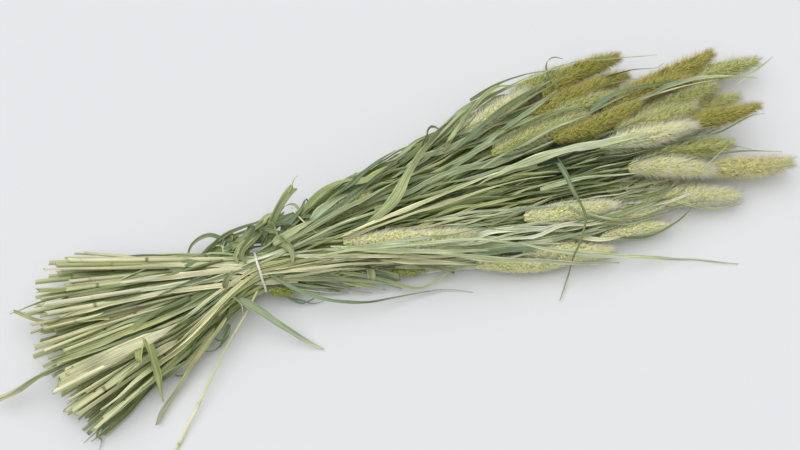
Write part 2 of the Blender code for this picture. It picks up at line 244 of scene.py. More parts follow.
for x, y, z, length, turn in ADDED_HEADS:
    add_stem((x, y, z), length, turn)
for k, cut in enumerate(TOPMOST_ENDS):
    x = rng.uniform(150.0, 260.0)
    add_stem((x, float(fan_y(-0.75 + 0.1 * k, x)), 16.0), cut=cut)
for k in range(HEADLESS_STEMS):
    across = spread(k, -1.0, 2.0)
    x = rng.uniform(150.0, 320.0)
    add_stem((x, float(fan_y(0.9 * across, x)), 20.0 + 13.0 * (2.0 * level_of(k) - 1.1)))
print("stems in all:", sum(one["kind"] == "stem" for one in strands))

# %% [markdown]
# ## Blades in the pile
# A grass blade leaves its stem at a joint, runs with the stem for a while and bends away. The
# added ones start at chosen places in the fan and follow its local direction, with a slow
# wander. Their groups differ in where they start, how they end and, later, in width and colour.

# %% Blades of the fan
blade_rng = np.random.default_rng(23)
draw = blade_rng.uniform


def add_blade(group, start, end, across, z_start, z_end, size=1.0, radius=1.35, lean=0.1):
    """A blade along the fan, from x = start at its stem to x = end at its tip."""
    share = np.clip((STATIONS - start) / (end - start), 0.0, 1.0)
    drift = np.clip(across + blade_rng.normal(0.0, lean) * (share - 0.3), -0.98, 0.97)
    ys = fan_y(drift, STATIONS) + ripple(STATIONS, size, 260.0, 90.0, blade_rng)
    zs = z_start + (z_end - z_start) * share + ripple(STATIONS, 0.6 * size, 240.0, 80.0, blade_rng)
    strand("blade", "", min(start, end), max(start, end),
           np.stack([ys, np.maximum(zs, 2.0)], axis=1),
           lambda x: np.full_like(x, radius), flip=end < start, group=group)


for k in range(204):                      # the main fan, lower at its tips and its edges
    across = spread(k, -0.95, 1.88)
    start = 12.0 + 190.0 * draw() ** 1.3 + 35.0 * (-0.85 < across < 0.1)
    end = min(start + draw(120.0, 270.0), draw(250.0, 410.0))
    level, top = 0.1 + 0.9 * level_of(k), 43.0 - 17.0 * abs(across)
    add_blade("near" if across < -0.35 else "rim" if across > 0.72 else "fan", start, end, across,
              4 + top * level, 4 + (top - 12.0 * (end > 300.0)) * level,
              lean=0.1 + 0.12 * (k % 3 == 0))
for k in range(40):                       # broad leaves low down between the heads
    start, level = draw(180.0, 290.0), level_of(k)
    add_blade("fill", start, start + draw(100.0, 170.0), spread(k, -0.72, 1.1, 0.5),
              8 + 24 * level, 6 + 24 * level, lean=0.2)
for k in range(20):                       # the far fringe
    start = draw(4.0, 120.0)
    add_blade("rim", start, start + draw(110.0, 200.0), draw(0.82, 0.96), draw(5, 22), draw(5, 22))
for k in range(12):                       # the near fringe
    start = draw(4.0, 110.0)
    add_blade("near", start, start + draw(90.0, 180.0), -draw(0.78, 0.95), draw(3, 14), draw(3, 8))
for k in range(18):                       # thin leaves that run up between the heads
    start, across, step = draw(215.0, 300.0), spread(k, -0.55, 1.45, 0.2), 6 * (k % 3)
    add_blade("crown", start, start + draw(80.0, 160.0), across, 30 + step,
              36 + step - 14 * abs(across), radius=1.0)
print("strands so far:", len(strands))

# %% [markdown]
# Other blades were caught by the band. Strips and pale sheaths run on under it, and at the
# side of the cut ends they were cut with the straws or torn short.

# %% Blades at the band and the cut ends
for k in range(38):                       # strips that pass under the band
    start, across = draw(-120.0, -35.0), spread(k, -0.9, 1.8, 0.1)
    level = 0.35 + 0.65 * level_of(k)
    add_blade("band" if across < 0.4 else "rim", start, start + draw(150.0, 270.0), across,
              8 + 28 * level, 8 + 32 * level, size=0.6, radius=1.1, lean=0.05)
for k in range(20):                       # pale sheaths that run on over the near half
    start, across, level = draw(-60.0, -10.0), spread(k, -0.92, 1.0, 0.4), level_of(k)
    add_blade("ribbon", start, start + draw(150.0, 290.0), across, 36 - 10 * level,
              42 - 12 * level - 12 * abs(across), size=0.5, radius=1.0, lean=0.04)
for k in range(24):                       # short ends low down at the near side
    across, start = -draw(0.45, 1.0), draw(-110.0, -60.0)
    add_blade("cut", start, read_off(CUT_REACH, across) + draw(-6.0, 12.0), across,
              draw(4, 18), draw(2, 12), size=0.8, radius=1.3, lean=0.15)
for k in range(70):                       # strips among the cut ends
    start, across, level = draw(-80.0, -8.0), spread(k, -0.98, 1.96, 0.3), level_of(k)
    add_blade("cut", start, read_off(CUT_REACH, across) + draw(-4.0, 40.0), across,
              8 + 27 * level, 3 + (31 - 10 * abs(across)) * level,
              size=0.8, radius=1.4, lean=0.12)
print("strands in all:", len(strands), "of which blades:",
      sum(one["kind"] == "blade" for one in strands))

# %% [markdown]
# ## Letting the pile settle
# Strands that come too near are pushed apart, each strand keeps close to its own smooth line,
# the surface holds them up and the band holds them in. This is what hands and weight do to a
# real bundle. Each turn moves a pair by part of its overlap only, so that all settle together.

# %% Straight strands and close pairs
NEAR = 17.0                     # mm: strands nearer than this are looked at as a pair
EASE = 0.6                      # share of an overlap that one turn takes away


def stiffener(bend):
    """A matrix that takes the sharp turns out of a strand; more bend, straighter strand."""
    second = np.diff(np.eye(len(STATIONS)), 2, axis=0)
    return np.linalg.inv(np.eye(len(STATIONS)) + bend * second.T @ second)


def near_pairs(centres, radii, movable):
    """Index arrays (one, two, slab) of the strands that lie close to each other in a slab."""
    found = []
    for slab in range(radii.shape[1]):
        here = np.flatnonzero(radii[:, slab] > 0)
        one, two = (here[side] for side in np.triu_indices(len(here), 1))
        gap = np.abs(centres[one, slab] - centres[two, slab]).max(axis=1)
        later = np.abs(centres[one, slab + 1] - centres[two, slab + 1]).max(axis=1)
        close = (np.minimum(gap, later) < NEAR) & (movable[one] | movable[two])
        found.append(np.stack([one[close], two[close], np.full(close.sum(), slab)]))
    return np.concatenate(found, axis=1)


def push_apart(centres, radii, movable, pairs):
    """Move the sections of each close pair apart by part of what they overlap."""
    one, two, slab = pairs
    begin = centres[one, slab] - centres[two, slab]
    step = centres[one, slab + 1] - centres[two, slab + 1] - begin
    square = np.maximum((step ** 2).sum(axis=1), 1e-9)
    share = np.clip(-(begin * step).sum(axis=1) / square, 0.0, 1.0)
    offset = begin + share[:, None] * step
    distance = np.maximum(np.linalg.norm(offset, axis=1), 1e-6)
    short = np.maximum(radii[one, slab] + radii[two, slab] - distance, 0.0)
    push = offset * (EASE * short / distance)[:, None]
    give = movable[one].astype(float) / (movable[one].astype(float) + movable[two])
    for row, sign, part in ((one, 1.0, give), (two, -1.0, 1.0 - give)):
        move = sign * push * part[:, None]
        np.add.at(centres, (row, slab), move * (1.0 - share)[:, None])
        np.add.at(centres, (row, slab + 1), move * share[:, None])
    return short


# %% [markdown]
# The head on top of the pile stays bare. Whatever the pushing lays over it is put below it
# again after each turn.

# %% Let the strands settle
TOP_HEAD = "seed_head_17"       # nothing lies over it
BARE_WIDTH, BARE_DROP = 11.0, 5.0     # mm kept clear to each side of its line, and below it
LOWEST, HIGHEST = 2.2, 53.0     # heights that the centres keep to, mm
SQUEEZE = 16.0                  # the band squeezes this far to each side of it, mm
TURNS, PAIR_TURNS = 220, 15     # pairs are looked for again every so many turns
FREE_FROM = 0.8                 # for this share of the turns blades are drawn to their own lines


def clear_above(centres, movable):
    """Push whatever lies over the topmost head down below it."""
    row = next(row for row, one in enumerate(strands) if one.get("head") == TOP_HEAD)
    head = strands[row]
    for k in np.flatnonzero((STATIONS > head["base"] - 12.0) & (STATIONS < head["end"] + 8.0)):
        y, z = centres[row, k]
        over = movable & (np.abs(centres[:, k, 0] - y) < BARE_WIDTH)
        centres[over, k, 1] = np.minimum(centres[over, k, 1], z - BARE_DROP)


def settle():
    """Relax all strands and write the result back to them."""
    radii = np.array([one["radii"] for one in strands])
    movable = np.array([not one["fixed"] for one in strands])
    straws = movable & np.array([one["kind"] == "stem" for one in strands])
    blades = movable & ~straws
    loose = movable[:, None, None]
    target = np.array([one["path"] for one in strands])
    target[straws] = stiffener(5.0) @ target[straws]
    hard, soft = stiffener(2.0), stiffener(0.15)
    centres = target.copy()
    squeeze = -(STATIONS / SQUEEZE) ** 2
    np.exp(squeeze, out=squeeze)      # in place: its last digit then never depends on memory
    middle = np.array([0.0, WAIST_Z])
    for turn in range(TURNS):
        if turn % PAIR_TURNS == 0:
            pairs = near_pairs(centres, radii, movable)
        drift = centres - target
        drift[straws] = hard @ drift[straws]
        if turn < FREE_FROM * TURNS:
            drift[blades] = 0.98 * (soft @ drift[blades])
        centres = np.where(loose, target + drift, centres)
        inward = middle - centres
        distance = np.maximum(np.linalg.norm(inward, axis=2), 1.0)
        outside = np.maximum(distance - (WAIST_RADIUS - 1.8), 0.0)
        centres += np.where(loose, inward * (squeeze * outside / distance)[..., None], 0.0)
        short = push_apart(centres, radii, movable, pairs)
        held = np.clip(centres[..., 1], LOWEST, HIGHEST)
        centres[..., 1] = np.where(movable[:, None], held, centres[..., 1])
        clear_above(centres, movable)
    for kind, bend in ((straws, 6.0), (blades, 2.0)):
        centres[kind] = target[kind] + stiffener(bend) @ (centres - target)[kind]
    clear_above(centres, movable)
    centres[movable, :, 1] = np.maximum(centres[movable, :, 1], LOWEST)
    print(f"settled: mean overlap {short[short > 0].mean():.2f} mm,",
          f"in {(short > 0.3).sum()} places")
    for one, path in zip(strands, centres):
        one["path"] = path


settle()

# %% [markdown]
# ## Painted shade by depth
# The tones of strands deep in the pile are painted darker and greener, as painted shade for the
# shadow inside it. Painting each one would do, but how deep a strand lies is known here, so its
# tone at each station comes from how many others lie over it and under it.

# %% Painted shade by depth
BESIDE = 3.2                    # mm aside within which a strand covers another
DARKEST = 0.55                  # share of the light that is lost deep in the pile
COVER_FROM, COVER_RISE = 0.8, 2.0     # mm: it starts to cover this far above, fully 2 mm higher
GROUND, FEW = 1.2, 1.8          # strands that the surface counts as, and that take most light


def painted_depth_shade():
    """Per strand and station, a painted-shade factor for its tone, from 1 in the open down to the
    darkest.
    """
    centres = np.array([one["path"] for one in strands])
    slabs = np.pad(np.array([one["radii"] for one in strands]) > 0, ((0, 0), (1, 1)))
    here = slabs[:, 1:] | slabs[:, :-1]
    kept = np.ones(here.shape)
    for k in range(len(STATIONS)):
        rows = np.flatnonzero(here[:, k])
        spots = centres[rows, k]
        aside, rise = (spots[:, axis][None] - spots[:, axis][:, None] for axis in (0, 1))
        beside = np.exp(-(aside / BESIDE) ** 2)
        over, under = ((beside * np.clip((height - COVER_FROM) / COVER_RISE, 0.0, 1.0)).sum(axis=1)
                       for height in (rise, -rise))
        cover = np.minimum(over, under + GROUND)
        kept[rows, k] = 1.0 - DARKEST * (1.0 - np.exp(-cover / FEW))
    return kept


for one, kept in zip(strands, painted_depth_shade()):
    one["light"] = kept
print("mean light kept:", round(float(np.mean([one["light"].mean() for one in strands])), 2))

# %% [markdown]
# ## Lofts
# Straws and blades are both made as lofts: closed rings of points along a spine. Curves with a
# bevel are quicker to make, but a loft can fold, tear and change its section along the way.
# These helpers give a smooth spine, the way it faces at each point, and the distance walked.

# %% Spines
UP = np.array([0.0, 0.0, 1.0])


def spine(one, xs):
    """Points on the smooth curve through a strand's centres."""
    step = STATIONS[1] - STATIONS[0]
    cell = np.clip(((xs - STATIONS[0]) / step).astype(int), 1, len(STATIONS) - 3)
    t = ((xs - STATIONS[cell]) / step)[:, None]
    before, left, right, after = (one["path"][cell + k] for k in (-1, 0, 1, 2))
    slope_left, slope_right = 0.5 * (right - before), 0.5 * (after - left)
    yz = (left * (2 * t**3 - 3 * t**2 + 1) + slope_left * (t**3 - 2 * t**2 + t)
          + right * (3 * t**2 - 2 * t**3) + slope_right * (t**3 - t**2))
    return np.column_stack([xs, yz])


def unit(vectors):
    """Vectors at length one."""
    return vectors / np.maximum(np.linalg.norm(vectors, axis=-1, keepdims=True), 1e-9)


def frames(points, roll=0.0):
    """Tangent, side and up at each point of a path, carried along without twist, then rolled."""
    tangent = unit(np.gradient(points, axis=0))
    side = np.empty_like(tangent)
    start = np.cross(UP, tangent[0])
    side[0] = unit(start if np.linalg.norm(start) > 0.05 else np.array([0.0, 1.0, 0.0]))
    for row in range(1, len(points)):
        side[row] = unit(side[row - 1] - tangent[row] * (side[row - 1] @ tangent[row]))
    up = np.cross(tangent, side)
    turn = np.broadcast_to(np.asarray(roll, dtype=float), (len(points),))[:, None]
    cos, sin = np.cos(turn), np.sin(turn)
    return tangent, side * cos + up * sin, up * cos - side * sin


def walked(points):
    """Distance along a path at each of its points."""
    return np.concatenate([[0.0], np.cumsum(np.linalg.norm(np.diff(points, axis=0), axis=1))])


def curve(points, spacing):
    """A smooth path through points, at about even spacing."""
    points = np.asarray(points, dtype=float)
    ends = np.vstack([2 * points[0] - points[1], points, 2 * points[-1] - points[-2]])
    t = np.linspace(0.0, 1.0, 12, endpoint=False)[:, None]
    out = []
    for row in range(1, len(ends) - 2):
        before, left, right, after = ends[row - 1:row + 3]
        out.append(0.5 * (2 * left + (right - before) * t
                          + (2 * before - 5 * left + 4 * right - after) * t**2
                          + (3 * left - before - 3 * right + after) * t**3))
    dense = np.vstack(out + [points[-1:]])
    far = walked(dense)
    places = np.linspace(0.0, far[-1], max(8, int(far[-1] / spacing)))
    return np.stack([np.interp(places, far, dense[:, axis]) for axis in range(3)], axis=1)


print("spine of", strands[0]["name"], "at the band:", spine(strands[0], np.zeros(1)).round(1)[0])

# %% [markdown]
# Each vertex keeps two facts for the materials: its own tone, and its place in the straightened
# piece (along, across and deep, in mm), so that fibres run along it however it bends. Each loft
# also gets a strip of a flat map, so that its colours can be baked without streaks.

# %% Lofts and pieces
made = []


def ring_of(count):
    """Angles of count points round a ring."""
    return np.arange(count) * 2 * math.pi / count


def loft(rings, sides, verts, tones, grain):
    """A closed loft from its rings of points, with faces and its strip of the flat map."""
    faces, corners = [], []
    along = 0.02 + 0.96 * np.arange(rings) / (rings - 1)
    around = 0.06 + 0.88 * np.arange(sides + 1) / sides
    for ring in range(rings - 1):
        low = ring * sides
        for side in range(sides):
            after = (side + 1) % sides
            faces.append((low + side, low + after, low + sides + after, low + sides + side))
            corners += [(along[ring + a], around[side + b])
                        for a, b in ((0, 0), (0, 1), (1, 1), (1, 0))]
    last = (rings - 1) * sides
    angle = 2 * math.pi * np.arange(sides) / sides
    for cap, middle in ((range(sides - 1, -1, -1), 0.008), (range(last, last + sides), 0.992)):
        faces.append(tuple(cap))
        corners += [(middle + 0.006 * math.cos(a), 0.5 + 0.3 * math.sin(a)) for a in angle]
    return dict(verts=verts, faces=faces, corners=np.array(corners), tones=tones, grain=grain)


def make_piece(name, parts, materials, nodes=None):
    """One object from its parts, with its vertex facts and flat map, riding on the one body."""
    offset, row, faces, corners, finish = 0, 0, [], [], []
    strips = sum("finish" not in part for part in parts)
    for part in parts:
        faces += [tuple(offset + v for v in face) for face in part["faces"]]
        offset += len(part["verts"])
        corners.append(np.array(part["corners"]))
        if "finish" not in part:
            corners[-1][:, 1] = (row + corners[-1][:, 1]) / strips
            row += 1
        finish += [part.get("finish", 0)] * len(part["faces"])
    verts = np.concatenate([part["verts"] for part in parts])
    verts[:, 2] = np.maximum(verts[:, 2], 0.15)       # nothing sinks into the surface
    mesh = bpy.data.meshes.new(name)
    mesh.from_pydata(to_frame(verts).tolist(), [], faces)
    tones = np.concatenate([part["tones"] for part in parts])
    tone = mesh.color_attributes.new("tone", "FLOAT_COLOR", "POINT")
    tone.data.foreach_set("color", np.column_stack([tones, np.ones(len(verts))]).ravel())
    grain = mesh.attributes.new("grain", "FLOAT_VECTOR", "POINT")
    grain.data.foreach_set("vector", np.concatenate([part["grain"] for part in parts]).ravel())
    flat_map = mesh.uv_layers.new(name="OFBake")
    flat_map.data.foreach_set("uv", np.concatenate(corners).ravel())
    mesh.shade_smooth()
    for one in materials:
        mesh.materials.append(one)
    mesh.polygons.foreach_set("material_index", np.array(finish, dtype=np.int32))
    mesh.update()
    piece = bpy.data.objects.new(name, mesh)
    bpy.context.scene.collection.objects.link(piece)
    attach(piece, "root")
    if nodes:
        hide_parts(*nodes)
    made.append((name, sum(len(face) - 2 for face in faces)))


print("three-sided loft of two rings has", len(loft(2, 3, None, None, None)["faces"]), "faces")

# %% [markdown]
# ## Colours
# Colours are written as sRGB hex, as a colour picker shows them, and turned to linear light by
# one function. The rest mix them, pick one from a pool, and paint shade on what lies deep in the
# pile: darker, and greener with it.

# %% Colour helpers
# Painted shade: how fast red, green and blue fall as a tone is painted darker.
SHADE_TINT = np.array([1.1, 0.9, 1.5])      # blue goes first, so matter in the dark is greener


def linear(hex_code):
    """An sRGB hex colour as linear red, green and blue."""
    parts = np.array([int(hex_code[k:k + 2], 16) for k in (1, 3, 5)]) / 255.0
    return np.where(parts <= 0.04045, parts / 12.92, ((parts + 0.055) / 1.055) ** 2.4)


def colours(*hex_codes):
    """A pool of linear colours."""
    return [linear(code) for code in hex_codes]


def pick(pool, random):
    """One entry of a pool, at random."""
    return pool[random.integers(len(pool))]


def paint_shade(tones, light):
    """Tones with painted shade, where less light reaches: darker, and greener with it."""
    return tones * np.asarray(light, dtype=float)[..., None] ** SHADE_TINT


def blend(one, two, share):
    """Mix colours by share, which may be an array."""
    share = np.asarray(share, dtype=float)[..., None]
    return one * (1.0 - share) + two * share


print("half light on white leaves", paint_shade(np.ones(3), 0.5).round(2))

# %% [markdown]
# ## Materials
# Dried grass has no gloss to speak of: light straw with a thin waxy skin, ribbed blades that
# scatter light, and husks under a haze of bristles. All of them take their tone from the
# vertices, because each strand dried to its own. Over it go layers of noise, stretched along
# the grain: fine fibres, blotches and, on the larger pieces, coarse veins. The real fibres are
# 0.1 to 0.2 mm apart. They are drawn at about half a millimetre, as coarse as they need to
# show. Only the fibres also raise the surface.

# %% Dried plant matter


def add(tree, kind, settings=None, **links):
    """Add a node, set its properties and inputs, and link sockets given by input name."""
    node = tree.nodes.new(kind)
    for key, value in (settings or {}).items():
        if key in node.inputs:
            node.inputs[key].default_value = value
        else:
            setattr(node, key, value)
    for key, socket in links.items():
        place = int(key[1:]) if key[1:].isdigit() else key.replace("_", " ")
        tree.links.new(socket, node.inputs[place])
    return node


def pale_midrib(tree, grain, colour, rib):
    """Mix in a paler line where a blade is nearest to its middle, here and there along it."""
    apart = add(tree, "ShaderNodeSeparateXYZ", Vector=grain)
    off = add(tree, "ShaderNodeMath", {"operation": "ABSOLUTE"}, _0=apart.outputs["Y"])
    line = add(tree, "ShaderNodeMapRange", {"From Min": 0.2, "From Max": 0.55, "To Min": 1.0,
                                            "To Max": 0.0}, Value=off.outputs["Value"])
    run = add(tree, "ShaderNodeMapping", {"Scale": (0.02, 0.0, 0.0)}, Vector=grain)
    fade = add(tree, "ShaderNodeTexNoise", {"Scale": 1.0, "Detail": 1.0},
               Vector=run.outputs["Vector"])
    part = add(tree, "ShaderNodeMapRange", {"From Min": 0.4, "From Max": 0.65, "To Min": 0.0,
                                            "To Max": 0.6}, Value=fade.outputs["Fac"])
    share = add(tree, "ShaderNodeMath", {"operation": "MULTIPLY"}, _0=line.outputs["Result"],
                _1=part.outputs["Result"])
    pale = add(tree, "ShaderNodeMix", {"data_type": "RGBA"}, _0=share.outputs["Value"], _6=colour)
    pale.inputs[7].default_value = (*linear(rib), 1.0)
    return pale.outputs[2]


def dried_grass(name, fibre_mm, fibres, blotches, veins, roughness, bump_mm, rib=None):
    """Fibrous dried plant matter: the piece's own tone, darker and lighter along its grain."""
    material = bpy.data.materials.new(name)
    material.use_nodes = True
    tree = material.node_tree
    shader = tree.nodes["Principled BSDF"]
    tone = add(tree, "ShaderNodeAttribute", {"attribute_name": "tone"})
    grain = add(tree, "ShaderNodeAttribute", {"attribute_name": "grain"}).outputs["Vector"]
    factor = None
    for amount, along, across, detail, rough, low, high in (
            (fibres, 0.03, 1.0 / fibre_mm, 3.0, 0.6, 0.3, 0.7),
            (blotches, 0.05, 0.3, 4.0, 0.65, 0.3, 0.7),
            (veins, 0.012, 0.75, 2.0, 0.5, 0.36, 0.64)):
        if not amount:
            continue
        placed = add(tree, "ShaderNodeMapping", {"Scale": (along, across, across)}, Vector=grain)
        noise = add(tree, "ShaderNodeTexNoise",
                    {"Scale": 1.0, "Detail": detail, "Roughness": rough},
                    Vector=placed.outputs["Vector"])
        shade = add(tree, "ShaderNodeMapRange",
                    {"From Min": low, "From Max": high, "To Min": 1.0 - amount,
                     "To Max": 1.0 + amount}, Value=noise.outputs["Fac"]).outputs["Result"]
        if factor is None:
            factor, fibre = shade, noise.outputs["Fac"]
        else:
            factor = add(tree, "ShaderNodeMath", {"operation": "MULTIPLY"}, _0=factor,
                         _1=shade).outputs["Value"]
    colour = add(tree, "ShaderNodeVectorMath", {"operation": "SCALE"}, _0=tone.outputs["Color"],
                 Scale=factor).outputs["Vector"]
    if rib:
        colour = pale_midrib(tree, grain, colour, rib)
    tree.links.new(colour, shader.inputs["Base Color"])
    rise = add(tree, "ShaderNodeBump", {"Strength": 0.7, "Distance": bump_mm * MM}, Height=fibre)
    tree.links.new(rise.outputs["Normal"], shader.inputs["Normal"])
    shader.inputs["Roughness"].default_value = roughness
    return material


# %% [markdown]
# Cellulose has an IOR close to 1.5 and no metal in it, so both stay at the shader's own values.
# Roughness tells the four finishes apart. Shares are how far each layer darkens and lightens.

# %% The four dried finishes
# Straw, dried in the air with its waxy skin on: the eye sees pale satin and fine lines along it.
STRAW = dried_grass("dried_straw", fibre_mm=0.55, fibres=0.16, blotches=0.12, veins=0.16,
                    roughness=0.55, bump_mm=0.12)
# A blade, dried flat: matt and ribbed, blotched where it bleached, with a paler midrib.
BLADE = dried_grass("dried_grass_blade", fibre_mm=0.55, fibres=0.24, blotches=0.20, veins=0.24,
                    roughness=0.62, bump_mm=0.25, rib="#c6cba0")
# The papery husk of a grain, ripened on the spike: dull, and even in itself.
HUSK = dried_grass("dried_seed_husk", fibre_mm=0.8, fibres=0.12, blotches=0.05, veins=0.0,
                   roughness=0.75, bump_mm=0.05)
# A bristle, as thin as a hair: too thin to show a pattern, so it gives colour and a soft edge.
BRISTLE = dried_grass("dried_bristle", fibre_mm=0.6, fibres=0.06, blotches=0.03, veins=0.0,
                      roughness=0.7, bump_mm=0.01)
print("nodes:", {one.name: len(one.node_tree.nodes) for one in (STRAW, BLADE, HUSK, BRISTLE)})

# %% [markdown]
# ## Straws
# A straw is a thin hollow tube with a joint every 85 to 150 mm. At each joint it swells and
# turns brown, and above it the sheath of a leaf wraps the straw for 30 to 75 mm, a little
# thicker and greener than the bare culm. The cut end is open, oval, slanted by the shears, and
# ragged where the wall tore. Rings are set close round the joints and sparsely between them.

# %% Shape of a straw
STRAW_SIDES = 10
RING_STEP = 11.0                # mm between rings on a bare stretch
END_DEPTH = 6.0                 # mm that the open end is hollow
CULMS = colours("#e8e6c0", "#e0deb2", "#ebe8cb", "#dbdbaa", "#e3dfb6", "#d4d7a4", "#dadaa8")
SHEATHS = colours("#dcdeb2", "#e6e4c0", "#ced4a4", "#e0deb4", "#bfc892")
JOINTS = colours("#7a5c2a", "#6b5526", "#8a6f38", "#7c7444")
GREEN_CULM, PITH = linear("#a3b07c"), linear("#dcd6ae")
stem_rng = np.random.default_rng(5)


def joints_of(length, random):
    """Where each joint of a straw is, and where the sheath above it ends."""
    joints, at = [], random.uniform(4.0, 110.0)
    while at < length - 15.0:
        joints.append((at, min(at + random.uniform(30.0, 75.0), length)))
        at += random.uniform(85.0, 150.0)
    return joints


def rings_of(length, joints):
    """Distances along a straw at which it has a ring of points."""
    places = set(np.arange(4.0, length - 3.0, RING_STEP)) | {0.0, 1.0, length}
    for joint, top in joints:
        places |= {joint + step for step in (-2.4, -1.0, 0.0, 1.0, 2.4)} | {top - 0.4, top + 0.4}
    s = np.array(sorted(place for place in places if 0.0 <= place <= length))
    return s[np.concatenate([[True], np.diff(s) > 0.25])]


def straw_tones(s, length, joints, shares, green_from, light, culm, random):
    """Colours along a straw: its culm, greener sheaths, brown joints, dark sheath rims and painted
    shade from how deep it lies.
    """
    joint_share, sheath_share = shares
    culm = blend(pick(CULMS, random) if culm is None else culm, GREEN_CULM,
                 np.clip((s - green_from) / 90.0, 0.0, 0.8))
    tones = blend(culm, pick(SHEATHS, random), 0.55 * sheath_share)
    marked = 1.0 if random.uniform() < 0.4 else random.uniform(0.2, 0.6)
    tones = blend(tones, pick(JOINTS, random), marked * joint_share)
    for _, top in joints:
        tones = blend(tones, tones * 0.62, 0.8 * np.exp(-((s - top) / 0.9) ** 2) * (top < length))
    mottled = random.uniform(0.94, 1.16) + ripple(s, 0.05, 120.0, 30.0, random)
    return paint_shade(tones * mottled[:, None], light)


def straw(path, first_radius, last_radius, random, green_from=1e9, light=None, culm=None):
    """A straw along a path, from its cut end: joints, sheaths and a hollow end."""
    far = walked(path)
    length = far[-1]
    joints = joints_of(length, random)
    s = rings_of(length, joints)
    light = np.ones(len(s)) if light is None else np.interp(s, far, light)
    path = np.stack([np.interp(s, far, path[:, axis]) for axis in range(3)], axis=1)
    radius = first_radius + (last_radius - first_radius) * s / length
    joint_share, sheath_share = np.zeros(len(s)), np.zeros(len(s))
    for joint, top in joints:
        joint_share = np.maximum(joint_share, np.exp(-((s - joint) / 1.3) ** 2))
        sheath_share = np.maximum(sheath_share, ((s > joint) & (s < top)).astype(float))
    radius = radius * (1.0 + 0.07 * joint_share) + 0.22 * sheath_share
    tangent, side, up = frames(path, random.uniform(0.0, 3.0))
    angle = ring_of(STRAW_SIDES)
    ring = np.stack([np.cos(angle), random.uniform(0.6, 0.95) * np.sin(angle)], axis=1)
    slant = random.uniform(-0.9, 0.9) * np.exp(-s / 2.0)

    def around(row, scale, inset=0.0):
        spot = path[row] + tangent[row] * inset
        points = spot + scale * (ring[:, :1] * side[row] + ring[:, 1:] * up[row])
        return points + tangent[row] * (slant[row] * scale * ring[:, :1])

    raggedness = random.choice((0.6, 1.2, 2.0, 3.6))
    torn = raggedness * random.uniform(0.0, 1.0, STRAW_SIDES)[:, None] * tangent[0]
    hollow = [around(0, radius[0] * 0.62, END_DEPTH), around(0, radius[0] * 0.68) - torn]
    rim = [around(0, radius[0]) - torn]
    verts = np.concatenate(hollow + rim + [around(row, radius[row]) for row in range(1, len(s))])
    tones = straw_tones(s, length, joints, (joint_share, sheath_share), green_from, light, culm,
                        random)
    ridges = random.uniform(0.80, 1.12, STRAW_SIDES)
    # Painted shade: the ring deep inside the open end is painted almost black, as the shadow in
    # the hollow.
    tones = np.concatenate([[PITH * 0.16, PITH * 0.8], tones])[:, None] * ridges[None, :, None]
    along = np.concatenate([[END_DEPTH, 0.0], s]) + random.uniform(0.0, 900.0)
    scale = np.concatenate([[1.2, 1.4], radius])
    grain = np.concatenate([np.column_stack([np.full(STRAW_SIDES, a), r * ring])
                            for a, r in zip(along, scale)])
    return loft(len(s) + 2, STRAW_SIDES, verts, tones.reshape(-1, 3), grain)


# %% [markdown]
# Each stem of the frame is replaced by a straw of its own. The added straws are joined in
# eights, to keep the number of pieces low. They thin out towards the heads.

# %% Build the straws
JOINED = 8
added_straws = []
for one in strands:
    if one["kind"] != "stem":
        continue
    end = one["base"] + 3.0 if one["head"] else one["end"]
    xs = np.arange(one["start"], end, 6.0)
    thick = stem_rng.uniform(1.25, 2.25)
    thin = thick * (1.0 - 0.42 * np.clip(end / CROWN_X, 0.0, 1.0))
    part = straw(spine(one, xs), thick, thin, stem_rng, green_from=60.0 - one["start"],
                 light=np.interp(xs, STATIONS, one["light"]))
    if one["fixed"]:
        make_piece("straw_of_" + one["name"], [part], [STRAW], [one["name"]])
    else:
        added_straws.append(part)
for k in range(0, len(added_straws), JOINED):
    make_piece(f"added_straws_{k // JOINED + 1}", added_straws[k:k + JOINED], [STRAW])
print("straws:", sum(one["kind"] == "stem" for one in strands))

# %% [markdown]
# ## Blades of grass
# A dried blade is a long strip, folded along its midrib, that twists, curls in at its edges and
# narrows to a thin point. A flat ribbon with a thickness would look like paper tape, so it is
# lofted as a thin closed body whose fold, twist, curl and width wander along it.
# Colours come in pools, since a blade keeps to one family: fresh green, olive, bleached or straw.

